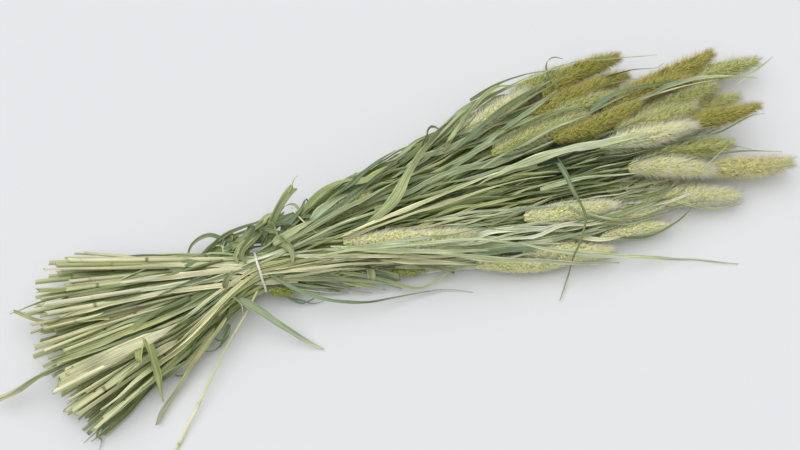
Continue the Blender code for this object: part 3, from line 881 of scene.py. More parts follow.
# %% Blade colours
GREENS = colours("#b0ba88", "#b6c49c", "#9bad84", "#c4cda2", "#b4bc82", "#8fa17c", "#a9b68a",
                 "#b0b57a")
DARKS = colours("#7c8b5c", "#6d7e50", "#86925e", "#728664")
YELLOWS = colours("#ccce96", "#d5d4a0", "#c0c488", "#bbbd7e")
STRAWS = colours("#e0ddb0", "#d9d7a8", "#e7e4c2", "#d0d09e")
OLIVES = colours("#97a36c", "#a4b072", "#859260", "#b0b882")
LIMES = colours("#b3bd76", "#a6b26a", "#bfc684")
LIGHTS = colours("#c6cfa8", "#bbc8a0", "#ced5b0", "#bec996")
PALES = colours("#d6deba", "#cad6b0", "#dfe5c6", "#ced8ac")
WRAPS = colours("#d3d3a6", "#cbcc9c", "#dad9b0")
SAGES = colours("#a9b796", "#9dad89")
DRY_TIP = linear("#c9c59c")
POOLS = {                       # a pool that is named twice is picked twice as often
    "frame": (GREENS, GREENS, OLIVES),
    "fan": (GREENS, GREENS, GREENS, GREENS, OLIVES, DARKS, DARKS, YELLOWS),
    # The near group's pool leans to pale colours: partly the blades' own colour, partly painted
    # light for the near side.
    "near": (GREENS, LIGHTS, PALES, PALES, PALES, YELLOWS, STRAWS),
    "rim": (GREENS, OLIVES, DARKS), "fill": (GREENS, GREENS, LIGHTS, OLIVES, DARKS),
    "band": (STRAWS, STRAWS, YELLOWS, GREENS), "cut": (GREENS, GREENS, DARKS, STRAWS, OLIVES),
    "crown": (DARKS, OLIVES, GREENS), "ribbon": (STRAWS, PALES, YELLOWS),
    "curl": (OLIVES, GREENS), "green": (GREENS,), "light": (LIGHTS,), "wrap": (WRAPS,),
    "lime": (LIMES,), "dark": (DARKS,), "yellow": (YELLOWS,), "straw": (STRAWS,),
    "olive": (OLIVES,), "sage": (SAGES,),
}
print("pools of colour:", len(POOLS))

# %% [markdown]
# Half of a blade is two or three narrow strips wide. Each strip leans a little more than the
# last, by the fold, the curl and a small wave, and the points between them make the section.

# %% Shape of a blade
THICKNESS = 0.26                # mm; a real blade is 0.1 to 0.2, too thin to render cleanly
leaf_rng = np.random.default_rng(41)


def half_section(s, sign, step, half_points, folds, curl, random):
    """Columns (across, up, flat distance, lean) of one half of a blade, from its midrib out."""
    waves = ripple(s, 0.22, 50.0, 15.0, random)
    curls = curl + ripple(s, 0.25, 100.0, 30.0, random)
    y, z, column = np.zeros(len(s)), np.zeros(len(s)), []
    for k in range(half_points):
        reach = (k + 0.5) / half_points
        lean = folds + curls * reach + waves * reach ** 2
        y, z = y + sign * step * np.cos(lean), z + step * np.sin(lean)
        column.append((y, z, sign * step * (k + 1), sign * lean))
    return column


def blade_tones(s, group, dry, light, columns, random):
    """Colours of a blade's rings: its pool, its dry tip, its paler underside, painted shade from
    how deep it lies, edges painted paler as a highlight and one half painted darker as the shaded
    side of its fold.
    """
    share = s / s[-1]
    pool = pick(POOLS[group], random)
    tones = blend(pick(pool, random), pick(pool, random),
                  np.clip(0.5 + ripple(s, 0.35, 160.0, 40.0, random), 0, 1))
    tones = blend(tones, DRY_TIP, dry * np.clip((share - 0.75) / 0.25, 0.0, 1.0) ** 1.5)
    mottled = random.uniform(0.84, 1.2) + ripple(s, 0.06, 100.0, 25.0, random)
    tones = paint_shade(tones * mottled[:, None], np.broadcast_to(light, s.shape))
    # Painted shade and highlight: one half across is darker at random, as the shaded side of the
    # fold, and both edges are paler, as a highlight; the underside is paler in itself.
    halves = random.uniform(0.78, 1.0, 2)[np.arange(columns) * 2 // columns]
    halves[[0, -1]] = 1.12
    paler = np.concatenate([1.1 * halves, halves[::-1]])
    return (tones[:, None, :] * paler[None, :, None]).reshape(-1, 3)


def blade(path, width, group, random, fold=None, roll=None, twist=None, curl=None, blunt=False,
          ragged=0.0, light=1.0, root=0.6, dry=0.55):
    """One blade along a path, from its base to its tip."""
    s = walked(path)
    share, count = s / s[-1], len(path)
    taper = np.clip(1.03 - share, 0.0, 1.0) ** 0.6 * 1.15 if not blunt else 1.0
    wander = 1.0 + ripple(s, 0.06, 110.0, 22.0, random)
    half = np.maximum(0.5 * width * np.clip(root + 3.0 * share, 0.0, 1.0) * taper * wander, 0.3)
    roll = random.normal(0.0, 0.5) if roll is None else roll
    twist = random.normal(0.0, 1.2) if twist is None else twist
    fold = random.uniform(0.08, 1.1) if fold is None else fold
    curl = random.uniform(-0.4, 0.7) if curl is None else curl
    folds = np.clip(fold + ripple(s, 0.2, 120.0, 26.0, random), 0.02, 1.4)
    _, side, up = frames(path, roll + twist * share + ripple(s, 0.3, 190.0, 50.0, random))
    half_points = 2 if width < 6.0 else 3
    step = half / half_points
    left, right = (half_section(s, sign, step, half_points, folds, curl, random)
                   for sign in (-1.0, 1.0))
    section = left[::-1] + [(np.zeros(count),) * 4] + right
    top, under = [], []
    for column, (y, z, across, lean) in enumerate(section):
        deep = THICKNESS * (0.2 if column in (0, len(section) - 1) else 0.5)
        for rows, sign in ((top, 1.0), (under, -1.0)):
            yy, zz = y - sign * deep * np.sin(lean), z + sign * deep * np.cos(lean)
            point = path + side * yy[:, None] + up * zz[:, None]
            rows.append((point, across, np.full(count, sign * deep)))
    verts, across, deep = (np.stack(rows, axis=1) for rows in zip(*(under + top[::-1])))
    if ragged:
        tear = random.uniform(-ragged, ragged, len(section))
        verts[-1] += unit(path[-1] - path[-2]) * np.concatenate([tear, tear[::-1]])[:, None]
    tones = blade_tones(s, group, dry, light, len(section), random)
    sides = 2 * len(section)
    along = np.repeat(s + random.uniform(0.0, 900.0), sides)
    grain = np.column_stack([along, across.ravel(), deep.ravel()])
    return loft(count, sides, verts.reshape(-1, 3), tones, grain)


print("a blade is", THICKNESS, "mm thick")

# %% [markdown]
# The blades in the pile are built along their settled strands, with a wander of their own so
# that no two run side by side. The frame's blades keep closest to their lines. Those at the
# cut ends are often blunt and ragged, and a few of them are broad sheaths.

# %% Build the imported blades
WIDTHS = {"frame": (4.2, 6.4), "fan": (3.4, 8.6), "fill": (4.5, 8.4), "band": (2.4, 4.8),
          "cut": (2.6, 6.4), "crown": (2.2, 4.0), "ribbon": (2.6, 5.0), "near": (3.0, 7.6),
          "rim": (2.8, 6.4)}
SHEATH_WIDTHS = (6.5, 8.5)
FRAME_BLADES = {                # blades of the frame that differ from the rest
    "leaf_12": dict(width=8.5, group="sage", fold=0.35, roll=0.5, twist=-1.0, curl=0.1, root=0.3),
    "leaf_13": dict(width=4.5, fold=0.5, roll=0.4, twist=1.5, curl=0.4),
    "leaf_05": dict(width=4.0, group="light", fold=0.4, root=0.1),
    "leaf_08": dict(width=4.0, group="light", fold=0.4, root=0.1),
    "leaf_10": dict(width=6.0, group="light", fold=0.35, roll=0.3, twist=0.5, curl=0.2, root=0.1),
    "leaf_06": dict(width=4.6, group="curl", fold=0.6, roll=0.4),
    "leaf_14": dict(width=6.5, group="dark", fold=0.35, roll=0.1, twist=0.2, curl=0.1, blunt=True,
                    dry=1.0),
}
TUFT = 12                       # blades joined in one piece


def make_tufts(name, parts):
    """Pieces of a dozen blades each."""
    for k in range(0, len(parts), TUFT):
        make_piece(f"{name}_{k // TUFT + 1}", parts[k:k + TUFT], [BLADE])


added_blades = {group: [] for group in WIDTHS if group != "frame"}
for one in strands:
    if one["kind"] != "blade":
        continue
    rings = max(14, int((one["end"] - one["start"]) / 7.0))
    xs = np.linspace(one["start"], one["end"], rings)[::-1 if one["flip"] else 1]
    path, group, light = spine(one, xs), one["group"], np.interp(xs, STATIONS, one["light"])
    wander = 1.35 if group in ("fan", "fill", "near", "rim") else 0.35
    path[:, 1] += ripple(xs, wander, 110.0, 38.0, leaf_rng)
    path[:, 2] += ripple(xs, 0.7 * wander, 105.0, 40.0, leaf_rng) + 0.4
    # Painted light: blades at the near side are painted brighter, with little of the painted
    # shade.
    if group == "near":         # the near side faced the light
        light = 0.9 + 0.25 * light
    if one["fixed"]:
        more = {"group": group, **FRAME_BLADES.get(one["name"], {})}
        width = more.pop("width", leaf_rng.uniform(*WIDTHS[group]))
        part = blade(path, width, more.pop("group"), leaf_rng, light=light, **more)
        make_piece("blade_of_" + one["name"], [part], [BLADE], [one["name"]])
        continue
    sheath = group == "cut" and leaf_rng.uniform() < 0.10
    blunt = group == "cut" and leaf_rng.uniform() < 0.65
    width = leaf_rng.uniform(*(SHEATH_WIDTHS if sheath else WIDTHS[group]))
    fold = leaf_rng.uniform(0.05, 0.5) if sheath else None
    path[:, 2] -= 5.0 * np.exp(-walked(path) / 14.0)      # its base is hidden in the pile
    added_blades[group].append(blade(path, width, "straw" if sheath else group, leaf_rng,
                                     fold=fold, blunt=blunt, ragged=3.0 if blunt else 0.0,
                                     light=light, root=0.25))
for group, parts in added_blades.items():
    make_tufts(f"blade_tuft_{group}", parts)
print("packed blades:", {group: len(parts) for group, parts in added_blades.items()})

# %% [markdown]
# ## Loose blades
# Some blades stand out of the bundle. Each is a smooth path through a few places in mm, given one
# by one, because no rule puts a leaf just where this bundle has one. A row gives the width in mm,
# the pool of colour, then fold, roll, twist and curl as far as they are set (the rest are drawn
# at random), the places from base to tip, and what is special about its ends or its tone.
# The first ones curl up out of the bundle and over it beside the band.

# %% Curls round the band
CURLS = [
    (7.8, "curl", (0.5, 1.0, -0.8), [(12, 14, 30), (18, 21, 30), (23, 30, 32), (30, 37, 37),
     (39, 45, 40), (47, 51, 42), (53, 55, 42)], dict(blunt=True, ragged=1.5)),
    (2.1, "curl", (), [(47, 50, 43), (52, 55, 45), (56, 60, 46), (60, 62, 46)]),
    (4.7, "curl", (0.4, 0.9, 1.4), [(20, 30, 28), (31, 40, 30), (40, 44, 34), (48, 43, 36),
     (51, 36, 36), (50, 31, 33), (44, 27, 30)]),
    (8.5, "curl", (0.2, 0.4, 0.6), [(16, 34, 30), (25, 29, 36), (26, 17, 42), (28, 8, 44),
     (34, 5, 42), (41, 9, 37)]),
    (9.5, "olive", (0.3, 0.1, 0.2, 0.2), [(24, 14, 38), (29, 7, 41), (32, -1, 43), (32, -8, 42),
     (29, -12, 38)]),
    (10.4, "dark", (0.25, -0.3, 0.5, 0.3), [(14, 32, 32), (9, 26, 38), (1, 18, 41), (-6, 12, 43),
     (-9, 7, 42), (-7, 1, 39)]),
    (8.5, "curl", (0.3, 0.3, -0.5, 0.3), [(10, 30, 32), (5, 25, 37), (-1, 19, 40), (-9, 14, 42),
     (-14, 9, 40), (-13, 3, 38)]),
    (8.5, "dark", (0.2, 0.4, -0.7, 0.1), [(-12, 30, 26), (-19, 38, 24), (-26, 45, 22),
     (-33, 47, 20), (-40, 47, 17), (-46, 45, 13), (-51, 41, 6)]),
    (7.8, "curl", (0.4, -0.6, 0.6), [(-40, 29, 21), (-35, 30, 22), (-26, 33, 25), (-19, 36, 27),
     (-9, 38, 29), (3, 38, 31), (14, 38, 32), (24, 40, 33)]),
    (6.5, "dark", (0.5, -0.4, 0.8), [(-28, 30, 22), (-20, 33, 25), (-8, 34, 28), (6, 34, 30),
     (18, 35, 31), (30, 39, 31)]),
    (9.1, "curl", (0.35, -0.2, 0.4), [(-12, 24, 28), (-6, 26, 30), (4, 28, 32), (14, 31, 33),
     (26, 33, 34), (39, 39, 34)]),
    (4.7, "curl", (0.5, 0.5, 1.2), [(-30, 22, 24), (-24, 25, 28), (-17, 27, 31), (-11, 31, 31),
     (-12, 37, 28), (-19, 38, 26), (-26, 34, 24)]),
    (6.5, "curl", (0.3, 0.6, 0.8), [(-34, 24, 22), (-30, 30, 26), (-24, 31, 30), (-20, 26, 33),
     (-22, 20, 33)]),
    (6.5, "dark", (), [(10, 20, 32), (18, 26, 36), (28, 28, 38), (38, 24, 38), (46, 18, 36)]),
    (5.9, "curl", (), [(8, 26, 30), (16, 34, 34), (24, 40, 34), (33, 40, 32), (40, 34, 30)]),
    (7.8, "curl", (), [(14, 24, 30), (26, 30, 33), (38, 34, 33), (52, 35, 33), (64, 34, 35)]),
    (6.5, "curl", (), [(2, 28, 30), (12, 30, 34), (22, 24, 38), (30, 18, 40), (40, 16, 40)]),
    (1.3, "straw", (0.2,), [(46, 41, 34), (49, 28, 37), (55, 12, 40), (61, 0, 40)]),
    (6.5, "dark", (), [(-22, 20, 32), (-14, 24, 34), (-6, 22, 36), (0, 16, 38)]),
    (8.5, "curl", (0.2,), [(20, 10, 39), (32, 12, 41), (46, 16, 42), (60, 17, 43)]),
]
print("curls laid by hand:", len(CURLS))

# %% [markdown]
# Others hang over the near side: twisted ones at the band, broad pale ones that fan out with
# the stems, and dry strips that sink to the surface by the cut ends.

# %% Hanging blades
HANGING = [
    (4.5, "green", (), [(5, -15, 22), (23, -21, 18), (41, -28, 13), (62, -35, 9), (88, -46, 3)]),
    (2.2, "dark", (), [(14, -20, 12), (19, -27, 8), (27, -34, 4), (35, -35, 5), (45, -33, 7),
     (43, -29, 9)]),
    (1.8, "dark", (), [(20, -27, 5), (28, -31, 4), (37, -37, 2), (46, -38, 2)]),
    (5.0, "green", (), [(-40, -10, 28), (-33, -14, 31), (-26, -22, 30), (-22, -29, 26),
     (-24, -36, 21)]),
    (6.5, "green", (0.2,), [(-44, -18, 26), (-38, -24, 30), (-31, -25, 31), (-24, -22, 30)]),
    (6.0, "curl", (0.2, 0.5), [(-31, -14, 38), (-28, -10, 41), (-24, -7, 42), (-20, -3, 41)]),
    (3.0, "green", (), [(-28, -12, 34), (-30, -20, 31), (-32, -27, 24), (-35, -32, 17)]),
    (9.0, "lime", (0.12, 0.0, 0.2, 0.0), [(-107, -34, 39), (-110, -41, 41.5), (-113, -47, 40),
     (-115, -51, 35)], dict(blunt=True, ragged=1.0, root=1.0)),
    (8.5, "lime", (0.25, 0.0, 0.3, 0.1), [(-102, -32, 39), (-103, -40, 42), (-103, -48, 40),
     (-104, -56, 34), (-104, -64, 24), (-106, -72, 14), (-107, -80, 7)], dict(root=1.0)),
    (4.6, "straw", (0.2, 0.3), [(33, -17, 24), (67, -24, 26), (109, -33, 26), (141, -44, 23),
     (175, -53, 19)]),
    (4.0, "straw", (0.3, 0.2), [(36, -11, 33), (77, -23, 33), (118, -34, 31), (150, -45, 27),
     (201, -57, 22)]),
    (4.6, "straw", (0.2, 0.1), [(31, -7, 41), (61, -18, 40), (101, -32, 38), (140, -46, 33)],
     dict(root=0.3)),
    (5.5, "straw", (0.1, 0.1), [(101, -32, 32), (128, -43, 30), (156, -53, 26), (181, -60, 18)],
     dict(root=0.3)),
    (4.2, "straw", (0.2,), [(22, -13, 33), (42, -20, 31), (62, -26, 30), (85, -31, 25)],
     dict(root=0.3)),
    (6.5, "light", (0.25, 0.1), [(64, -11, 43), (94, -24, 41), (134, -39, 37), (175, -51, 33),
     (213, -60, 27)], dict(root=0.2)),
    (6.0, "light", (0.2, 0.3), [(112, -37, 19), (140, -47, 20), (174, -56, 21), (200, -59, 20)],
     dict(root=0.2)),
    (6.0, "light", (0.25, 0.2), [(142, -43, 35), (173, -57, 33), (196, -68, 32), (227, -80, 30),
     (260, -92, 25), (294, -100, 17)], dict(root=0.2)),
    (6.5, "dark", (0.15, 0.3), [(57, -20, 30), (77, -26, 28), (97, -36, 22), (112, -46, 15)],
     dict(blunt=True, ragged=2.0)),
    (6.0, "green", (0.15, 0.3), [(99, -31, 31), (121, -40, 27), (141, -47, 20), (158, -56, 14)],
     dict(blunt=True, ragged=2.0)),
    (3.4, "curl", (0.4,), [(66, -26, 22), (98, -40, 12), (125, -57, 7), (151, -55, 10),
     (174, -55, 14), (195, -54, 17)]),
    (6.5, "yellow", (0.3, 0.3), [(43, -18, 27), (83, -29, 28), (126, -38, 29), (158, -50, 21)]),
    (5.5, "curl", (0.3, 0.4, 0.6), [(18, -17, 28), (33, -22, 26), (60, -30, 20), (92, -41, 12),
     (113, -52, 5)]),
    (6.5, "green", (0.1, 0.2), [(60, -16, 28), (78, -22, 26), (90, -27, 22), (92, -33, 17),
     (90, -39, 12)], dict(blunt=True)),
    (6.0, "curl", (0.3, 0.5), [(80, -24, 24), (100, -33, 20), (116, -38, 17), (131, -42, 15),
     (142, -48, 12)], dict(blunt=True, ragged=2.0)),
    (5.5, "dark", (0.2, 0.9, 0.6), [(-58, -34, 22), (-68, -44, 17), (-78, -50, 11), (-88, -54, 6),
     (-92, -58, 4), (-87, -62, 4), (-79, -58, 7), (-74, -52, 11)]),
    (6.0, "dark", (0.2, 0.9, 0.5), [(-28, -24, 24), (-36, -30, 21), (-45, -35, 17), (-51, -40, 13),
     (-50, -44, 10), (-44, -45, 10), (-37, -40, 14)]),
    (5.0, "dark", (0.2, 0.4), [(-36, -36, 14), (-44, -45, 9), (-54, -50, 5), (-63, -48, 5)]),
    (4.0, "dark", (0.3, 0.4), [(-146, -72, 12), (-155, -78, 8), (-163, -84, 5), (-166, -88, 3),
     (-163, -93, 2), (-168, -99, 1)]),
    (6.5, "straw", (0.1, 0.2, 0.2), [(-128, -2, 27), (-150, 6, 25), (-172, 11, 23), (-188, 22, 21),
     (-202, 36, 19)], dict(blunt=True, ragged=3.0)),
    (9.8, "wrap", (0.15, -0.1, 0.1, 0.1), [(-74, -31, 38), (-88, -36, 41), (-109, -39, 42.5),
     (-131, -40, 40), (-153, -41, 34), (-180, -40, 25)], dict(blunt=True, ragged=2.5, root=0.15)),
    (6.5, "yellow", (0.4, 0.3, 0.3), [(-37, -34, 24), (-50, -44, 20), (-62, -52, 16),
     (-77, -61, 10), (-91, -72, 6), (-107, -84, 3), (-117, -95, 2)],
     dict(root=0.3, blunt=True, ragged=1.5)),
    (7.0, "dark", (0.15, 0.1, 0.2, 0.1), [(-30, 4, 36), (-60, 3, 36), (-100, 2, 33), (-140, 6, 27),
     (-172, 8, 21)], dict(blunt=True, ragged=3.0)),
    (7.0, "dark", (0.2, 0.0, 0.3, 0.1), [(-60, -10, 33), (-90, -14, 32), (-130, -20, 26),
     (-168, -24, 18)], dict(blunt=True, ragged=3.0)),
]
print("hanging blades laid by hand:", len(HANGING))

# %% [markdown]
# A few straight pale strips run along the waist and dip under the band.

# %% Strips along the waist
WAIST = [
    (6.0, "straw", (0.1, 0.15, 0.1, 0.0), [(-111, 22, 36), (-91, 16, 40), (-71, 12, 38),
     (-46, 6, 38), (-21, 0, 38), (3, -9, 33.3), (31, -18, 34.5), (75, -28, 34), (107, -37, 30)],
     dict(root=0.3)),
    (4.0, "straw", (0.1, 0.1, 0.1, 0.0), [(-115, 37, 38.5), (-91, 30, 38), (-67, 22, 38.5),
     (-35, 10, 37), (-16, 2, 38), (3, -3, 33.5), (36, -12, 37), (74, -22, 41), (132, -41, 33)],
     dict(root=0.3)),
    (3.6, "light", (0.15, 0.1, 0.1, 0.0), [(-82, 33, 36.5), (-42, 20, 35), (-10, 8, 36.8),
     (7, 2, 36.0), (39, -6, 41), (71, -15, 44)], dict(root=0.3)),
    (5.0, "light", (0.1, 0.3, 0.1, 0.0), [(-97, 8, 37.5), (-56, 2, 35.5), (-20, -6, 34.5),
     (4, -12, 27), (33, -21, 29.5), (70, -28, 29)], dict(root=0.3)),
    (4.6, "straw", (0.2, 0.2, 0.1, 0.0), [(-166, 12, 31), (-125, 8, 33), (-75, 0, 35.5),
     (-38, -8, 34), (-17, -12, 33.5), (4, -15, 25), (30, -23, 26)], dict(blunt=True)),
]
print("strips along the waist:", len(WAIST))

# %% [markdown]
# The last lie over the fan: long ones that run up between the heads, dark ones low down at its
# far edge, and thin tips that reach past it.

# %% Blades over the fan
FAN_TOP = [
    (10.0, "olive", (0.15, 0.2, 0.3, 0.1), [(92, -6, 44), (104, -3, 49), (115, 0, 52),
     (130, 8, 55), (144, 22, 55), (163, 41, 51), (181, 56, 46), (193, 66, 40)], dict(root=0.1)),
    (6.0, "curl", (0.2, 0.4, 1.0), [(170, 50, 46), (177, 58, 47), (181, 67, 45), (188, 71, 42),
     (193, 66, 40)]),
    (4.2, "straw", (0.7, 0.0, 0.2), [(70, -6, 44), (88, -7, 48), (138, -4, 51), (186, 0, 51),
     (242, 3, 48), (280, 6, 42)]),
    (4.2, "straw", (0.7, 0.1, 0.2), [(76, -8, 43), (105, -10, 47), (155, -9, 49), (200, -9, 49),
     (237, -10, 47), (270, -14, 42)]),
    (5.6, "dark", (0.6, 0.3, 0.6), [(268, 10, 40), (274, 2, 46), (275, -20, 51), (275, -41, 53),
     (276, -57, 52), (275, -65, 50), (270, -73, 45), (264, -80, 36), (257, -85, 22), (252, -91, 8),
     (245, -99, 2), (236, -109, 2)]),
    (9.0, "light", (0.15, 0.05, 0.1, 0.1), [(200, 0, 43), (220, 1, 49), (248, 2, 52), (279, 1, 54),
     (314, -4, 54), (361, -8, 51), (400, -14, 45)], dict(root=0.05)),
    (4.5, "dark", (0.4, 0.1), [(324, 35, 45), (353, 43, 46), (384, 39, 48), (412, 34, 48),
     (433, 34, 42)]),
    (2.2, "dark", (), [(345, -24, 40), (381, -30, 42), (409, -35, 36), (436, -35, 26),
     (453, -39, 18)]),
    (5.0, "dark", (0.4, 0.1), [(230, 32, 42), (268, 39, 47), (297, 41, 49), (322, 41, 46)]),
    (5.0, "dark", (0.4,), [(185, 57, 32), (227, 79, 34), (262, 91, 30), (285, 99, 22)]),
    (5.5, "dark", (0.5,), [(149, 48, 36), (182, 61, 38), (212, 76, 36), (242, 90, 28)]),
    (4.0, "dark", (0.5,), [(231, 88, 36), (264, 96, 34), (295, 99, 30), (324, 97, 24)]),
    (3.6, "green", (0.5,), [(310, -6, 44), (335, -9, 48), (362, -13, 48), (398, -15, 44),
     (430, -14, 34)]),
    (4.5, "light", (0.5,), [(249, -26, 50), (285, -29, 51), (321, -35, 45), (358, -39, 38)]),
    (7.0, "green", (0.4, -0.4, 0.6), [(190, 46, 36), (204, 57, 38), (224, 72, 40), (241, 84, 40),
     (257, 91, 38), (273, 93, 30)]),
    (3.6, "dark", (0.5, 0.5), [(300, 62, 26), (308, 72, 31), (307, 81, 35), (309, 94, 36),
     (315, 105, 32), (324, 109, 28), (332, 107, 24)]),
    (5.6, "green", (0.4, 0.1, 0.4), [(330, 30, 38), (371, 30, 45), (401, 33, 47), (430, 31, 47),
     (457, 24, 45), (482, 16, 40)]),
    (4.5, "straw", (0.6,), [(310, 34, 36), (351, 29, 42), (380, 29, 46), (418, 27, 47),
     (449, 24, 44)]),
    (3.2, "dark", (), [(370, -16, 40), (395, -21, 43), (422, -25, 43), (458, -17, 38),
     (473, -17, 34)]),
    (2.6, "dark", (), [(370, -38, 38), (394, -43, 44), (430, -49, 44), (466, -60, 39)]),
    (2.6, "dark", (), [(320, 66, 26), (352, 70, 31), (382, 70, 31), (405, 65, 29), (416, 69, 26)]),
    (2.6, "green", (), [(461, 18, 36), (479, 23, 38), (495, 29, 36), (511, 37, 31)]),
    (1.0, "wrap", (0.2,), [(390, -53, 42), (405, -48, 46), (421, -41, 46)]),
    (4.0, "green", (), [(300, -50, 26), (333, -57, 25), (357, -61, 23), (375, -72, 20),
     (395, -81, 16), (420, -84, 14)]),
    (4.4, "dark", (), [(270, -58, 18), (291, -67, 16), (310, -78, 14), (331, -85, 14),
     (355, -83, 18), (373, -77, 24), (388, -71, 28)]),
    (7.0, "green", (), [(60, 17, 40), (84, 22, 43), (104, 30, 44), (130, 42, 43), (160, 56, 40)]),
    (6.5, "dark", (), [(70, 28, 38), (96, 38, 41), (124, 52, 40), (150, 62, 36)]),
    (6.0, "light", (), [(150, -18, 46), (190, -26, 46), (230, -36, 43), (270, -44, 38)],
     dict(root=0.1)),
    (7.5, "green", (0.3, -0.3, 0.5), [(177, 23, 34), (201, 31, 38), (230, 39, 42), (257, 48, 44),
     (283, 56, 46), (306, 67, 42)], dict(root=0.2)),
    (6.5, "dark", (0.35, -0.3, 0.4), [(196, 44, 34), (228, 56, 38), (255, 66, 42), (283, 74, 42),
     (309, 82, 36)], dict(root=0.2)),
    (5.0, "green", (0.4, 0.1, 0.3), [(209, 15, 42), (245, 20, 48), (280, 26, 51), (316, 30, 50),
     (350, 38, 44), (378, 43, 38)], dict(root=0.2)),
    # Painted shade: this blade is painted darker, a dark sheet in the shadowed gap below the broad
    # pale leaf.
    (4.5, "dark", (0.3, 0.2), [(267, -4, 38), (291, -6, 43), (314, -8, 45), (338, -14, 46),
     (367, -20, 42)], dict(light=0.45, root=0.2)),
    (8.5, "olive", (0.3, -0.3, 0.4), [(50, 29, 34), (66, 39, 38), (79, 44, 40), (95, 46, 40),
     (108, 45, 38)], dict(root=0.3)),
    (9.0, "green", (0.25, -0.1, 0.5), [(56, 21, 36), (65, 24, 41), (75, 27, 43), (86, 31, 43),
     (97, 33, 40)], dict(root=0.2)),
    (8.0, "dark", (0.3, 0.0, 0.6), [(59, 15, 38), (70, 15, 43), (79, 16, 45), (92, 19, 45),
     (104, 21, 42)], dict(root=0.2)),
    (7.5, "olive", (0.4, -0.3, 0.4), [(94, 44, 38), (106, 41, 41), (115, 39, 42), (125, 42, 43),
     (136, 44, 42), (147, 49, 38)], dict(root=0.2)),
    # Painted shade: these two blades are painted nearly black, dark sheets in the shadowed gap
    # under the broad pale leaf.
    (5.0, "dark", (0.1, 0.0, 0.1), [(258, 0, 44), (264, -2, 47), (277, -4, 49), (291, -5, 50),
     (304, -7, 50), (318, -8, 49)], dict(light=0.12, root=0.3)),
    (4.0, "dark", (0.1, 0.0, 0.1), [(306, -12, 42), (317, -14, 46), (333, -19, 47), (351, -21, 47),
     (370, -23, 45)], dict(light=0.15, root=0.3)),
]
print("blades laid over the fan:", len(FAN_TOP))

# %% [markdown]
# Round the band lie many more small curls, and torn ends hang at the near edge. No one of them
# matters, so they are grown by a rule: each walks in short steps, turns a little at each, and
# keeps to its part of the bundle.

# %% Curls and scraps grown by rule
CURL_STEP, SCRAP_STEP = 4.2, 6.5      # mm
loose_rng = np.random.default_rng(61)


def curl_path(random):
    """A dry leaf that starts between the strands near the band and creeps along their far edge."""
    spot = np.array([random.uniform(-44.0, 40.0), random.uniform(17.0, 27.0),
                     random.uniform(26.0, 33.0)])
    heading = random.normal(0.35, 0.45) + (math.pi if random.uniform() < 0.45 else 0.0)
    bend, rise, path = random.normal(0.0, 0.03), random.uniform(0.0, 0.55), [spot]
    for _ in range(int(random.uniform(7, 14))):
        spot = spot + CURL_STEP * np.array([math.cos(heading), math.sin(heading), rise])
        spot[1] = float(np.clip(spot[1], 12.0, 38.0 + 0.12 * spot[0]))
        spot[2] = float(np.clip(spot[2], 14.0, 40.0))
        heading, rise = heading + CURL_STEP * bend, rise - random.uniform(0.04, 0.2)
        path.append(spot)
    return path


def scrap_path(random):
    """A torn leaf end that leaves the bundle at its near edge and sinks to the surface."""
    x = random.uniform(14.0, 105.0)
    edge = read_off(NEAR_EDGE, x)
    spot = np.array([x, -edge * random.uniform(0.55, 0.85), random.uniform(14.0, 24.0)])
    heading, path = random.uniform(-0.75, -0.3), [spot]
    for _ in range(int(random.uniform(5, 10))):
        sink = -0.28 if spot[2] > 6.0 else -0.04
        spot = spot + SCRAP_STEP * np.array([math.cos(heading), math.sin(heading), sink])
        spot[2] = max(float(spot[2]), 2.5)
        heading += random.uniform(-0.02, 0.1)
        path.append(spot)
    return path


draw = loose_rng.uniform
for k in range(18):
    path, width = scrap_path(loose_rng), draw(3.5, 6.5)
    HANGING.append((width, ("green", "near", "dark")[k % 3], (draw(0.1, 0.6), draw(-0.4, 0.6)),
                    path, dict(blunt=k % 3 == 2, ragged=3.0, root=0.2)))
for k in range(26):
    path, width = curl_path(loose_rng), draw(4.5, 9.0)
    bends = (draw(0.1, 0.8), draw(-0.7, 0.7), loose_rng.normal(0.0, 1.2))
    CURLS.append((width, "curl" if k % 2 else "dark", bends, path,
                  dict(blunt=k % 4 == 0, ragged=2.0 * (k % 4 == 0))))
print("with those grown by rule:", len(HANGING), "hanging and", len(CURLS), "curls")

# %% [markdown]
# All of them are then made as blades, the curls with closer rings for their tight bends. One
# stray straw sticks out at the near side.

# %% Build the loose blades
for name, rows in (("curls", CURLS), ("hanging", HANGING), ("waist", WAIST), ("fan_top", FAN_TOP)):
    spacing = 2.6 if name == "curls" else 4.0
    parts = [blade(curve(path, spacing), width, pool, loose_rng, *bends,
                   **(more[0] if more else {}))
             for width, pool, bends, path, *more in rows]
    make_tufts(f"loose_blades_{name}", parts)
stray = curve([(-110, -122, 1.4), (-79, -90, 6), (-46, -56, 12), (-20, -33, 18),
               (0, -12, 20)], 6.0)
make_piece("stray_straw", [straw(stray, 1.15, 1.0, loose_rng, culm=linear("#dcdfaa"))], [STRAW])
print("loose blades:", sum(len(rows) for rows in (CURLS, HANGING, WAIST, FAN_TOP)))

# %% [markdown]
# ## Seed heads
# A foxtail is a spike of small husks packed round a stalk, each with a few bristles that reach
# past it. Hair particles would not reach the exported model, and a bumpy spindle has too hard
# an outline. So husks are small pointed solids laid in a spiral, and every bristle is a thin
# three-sided spine that leans towards the tip. Hundreds of both make the soft outline.
# Heads ripened at different times, which gives four kinds.

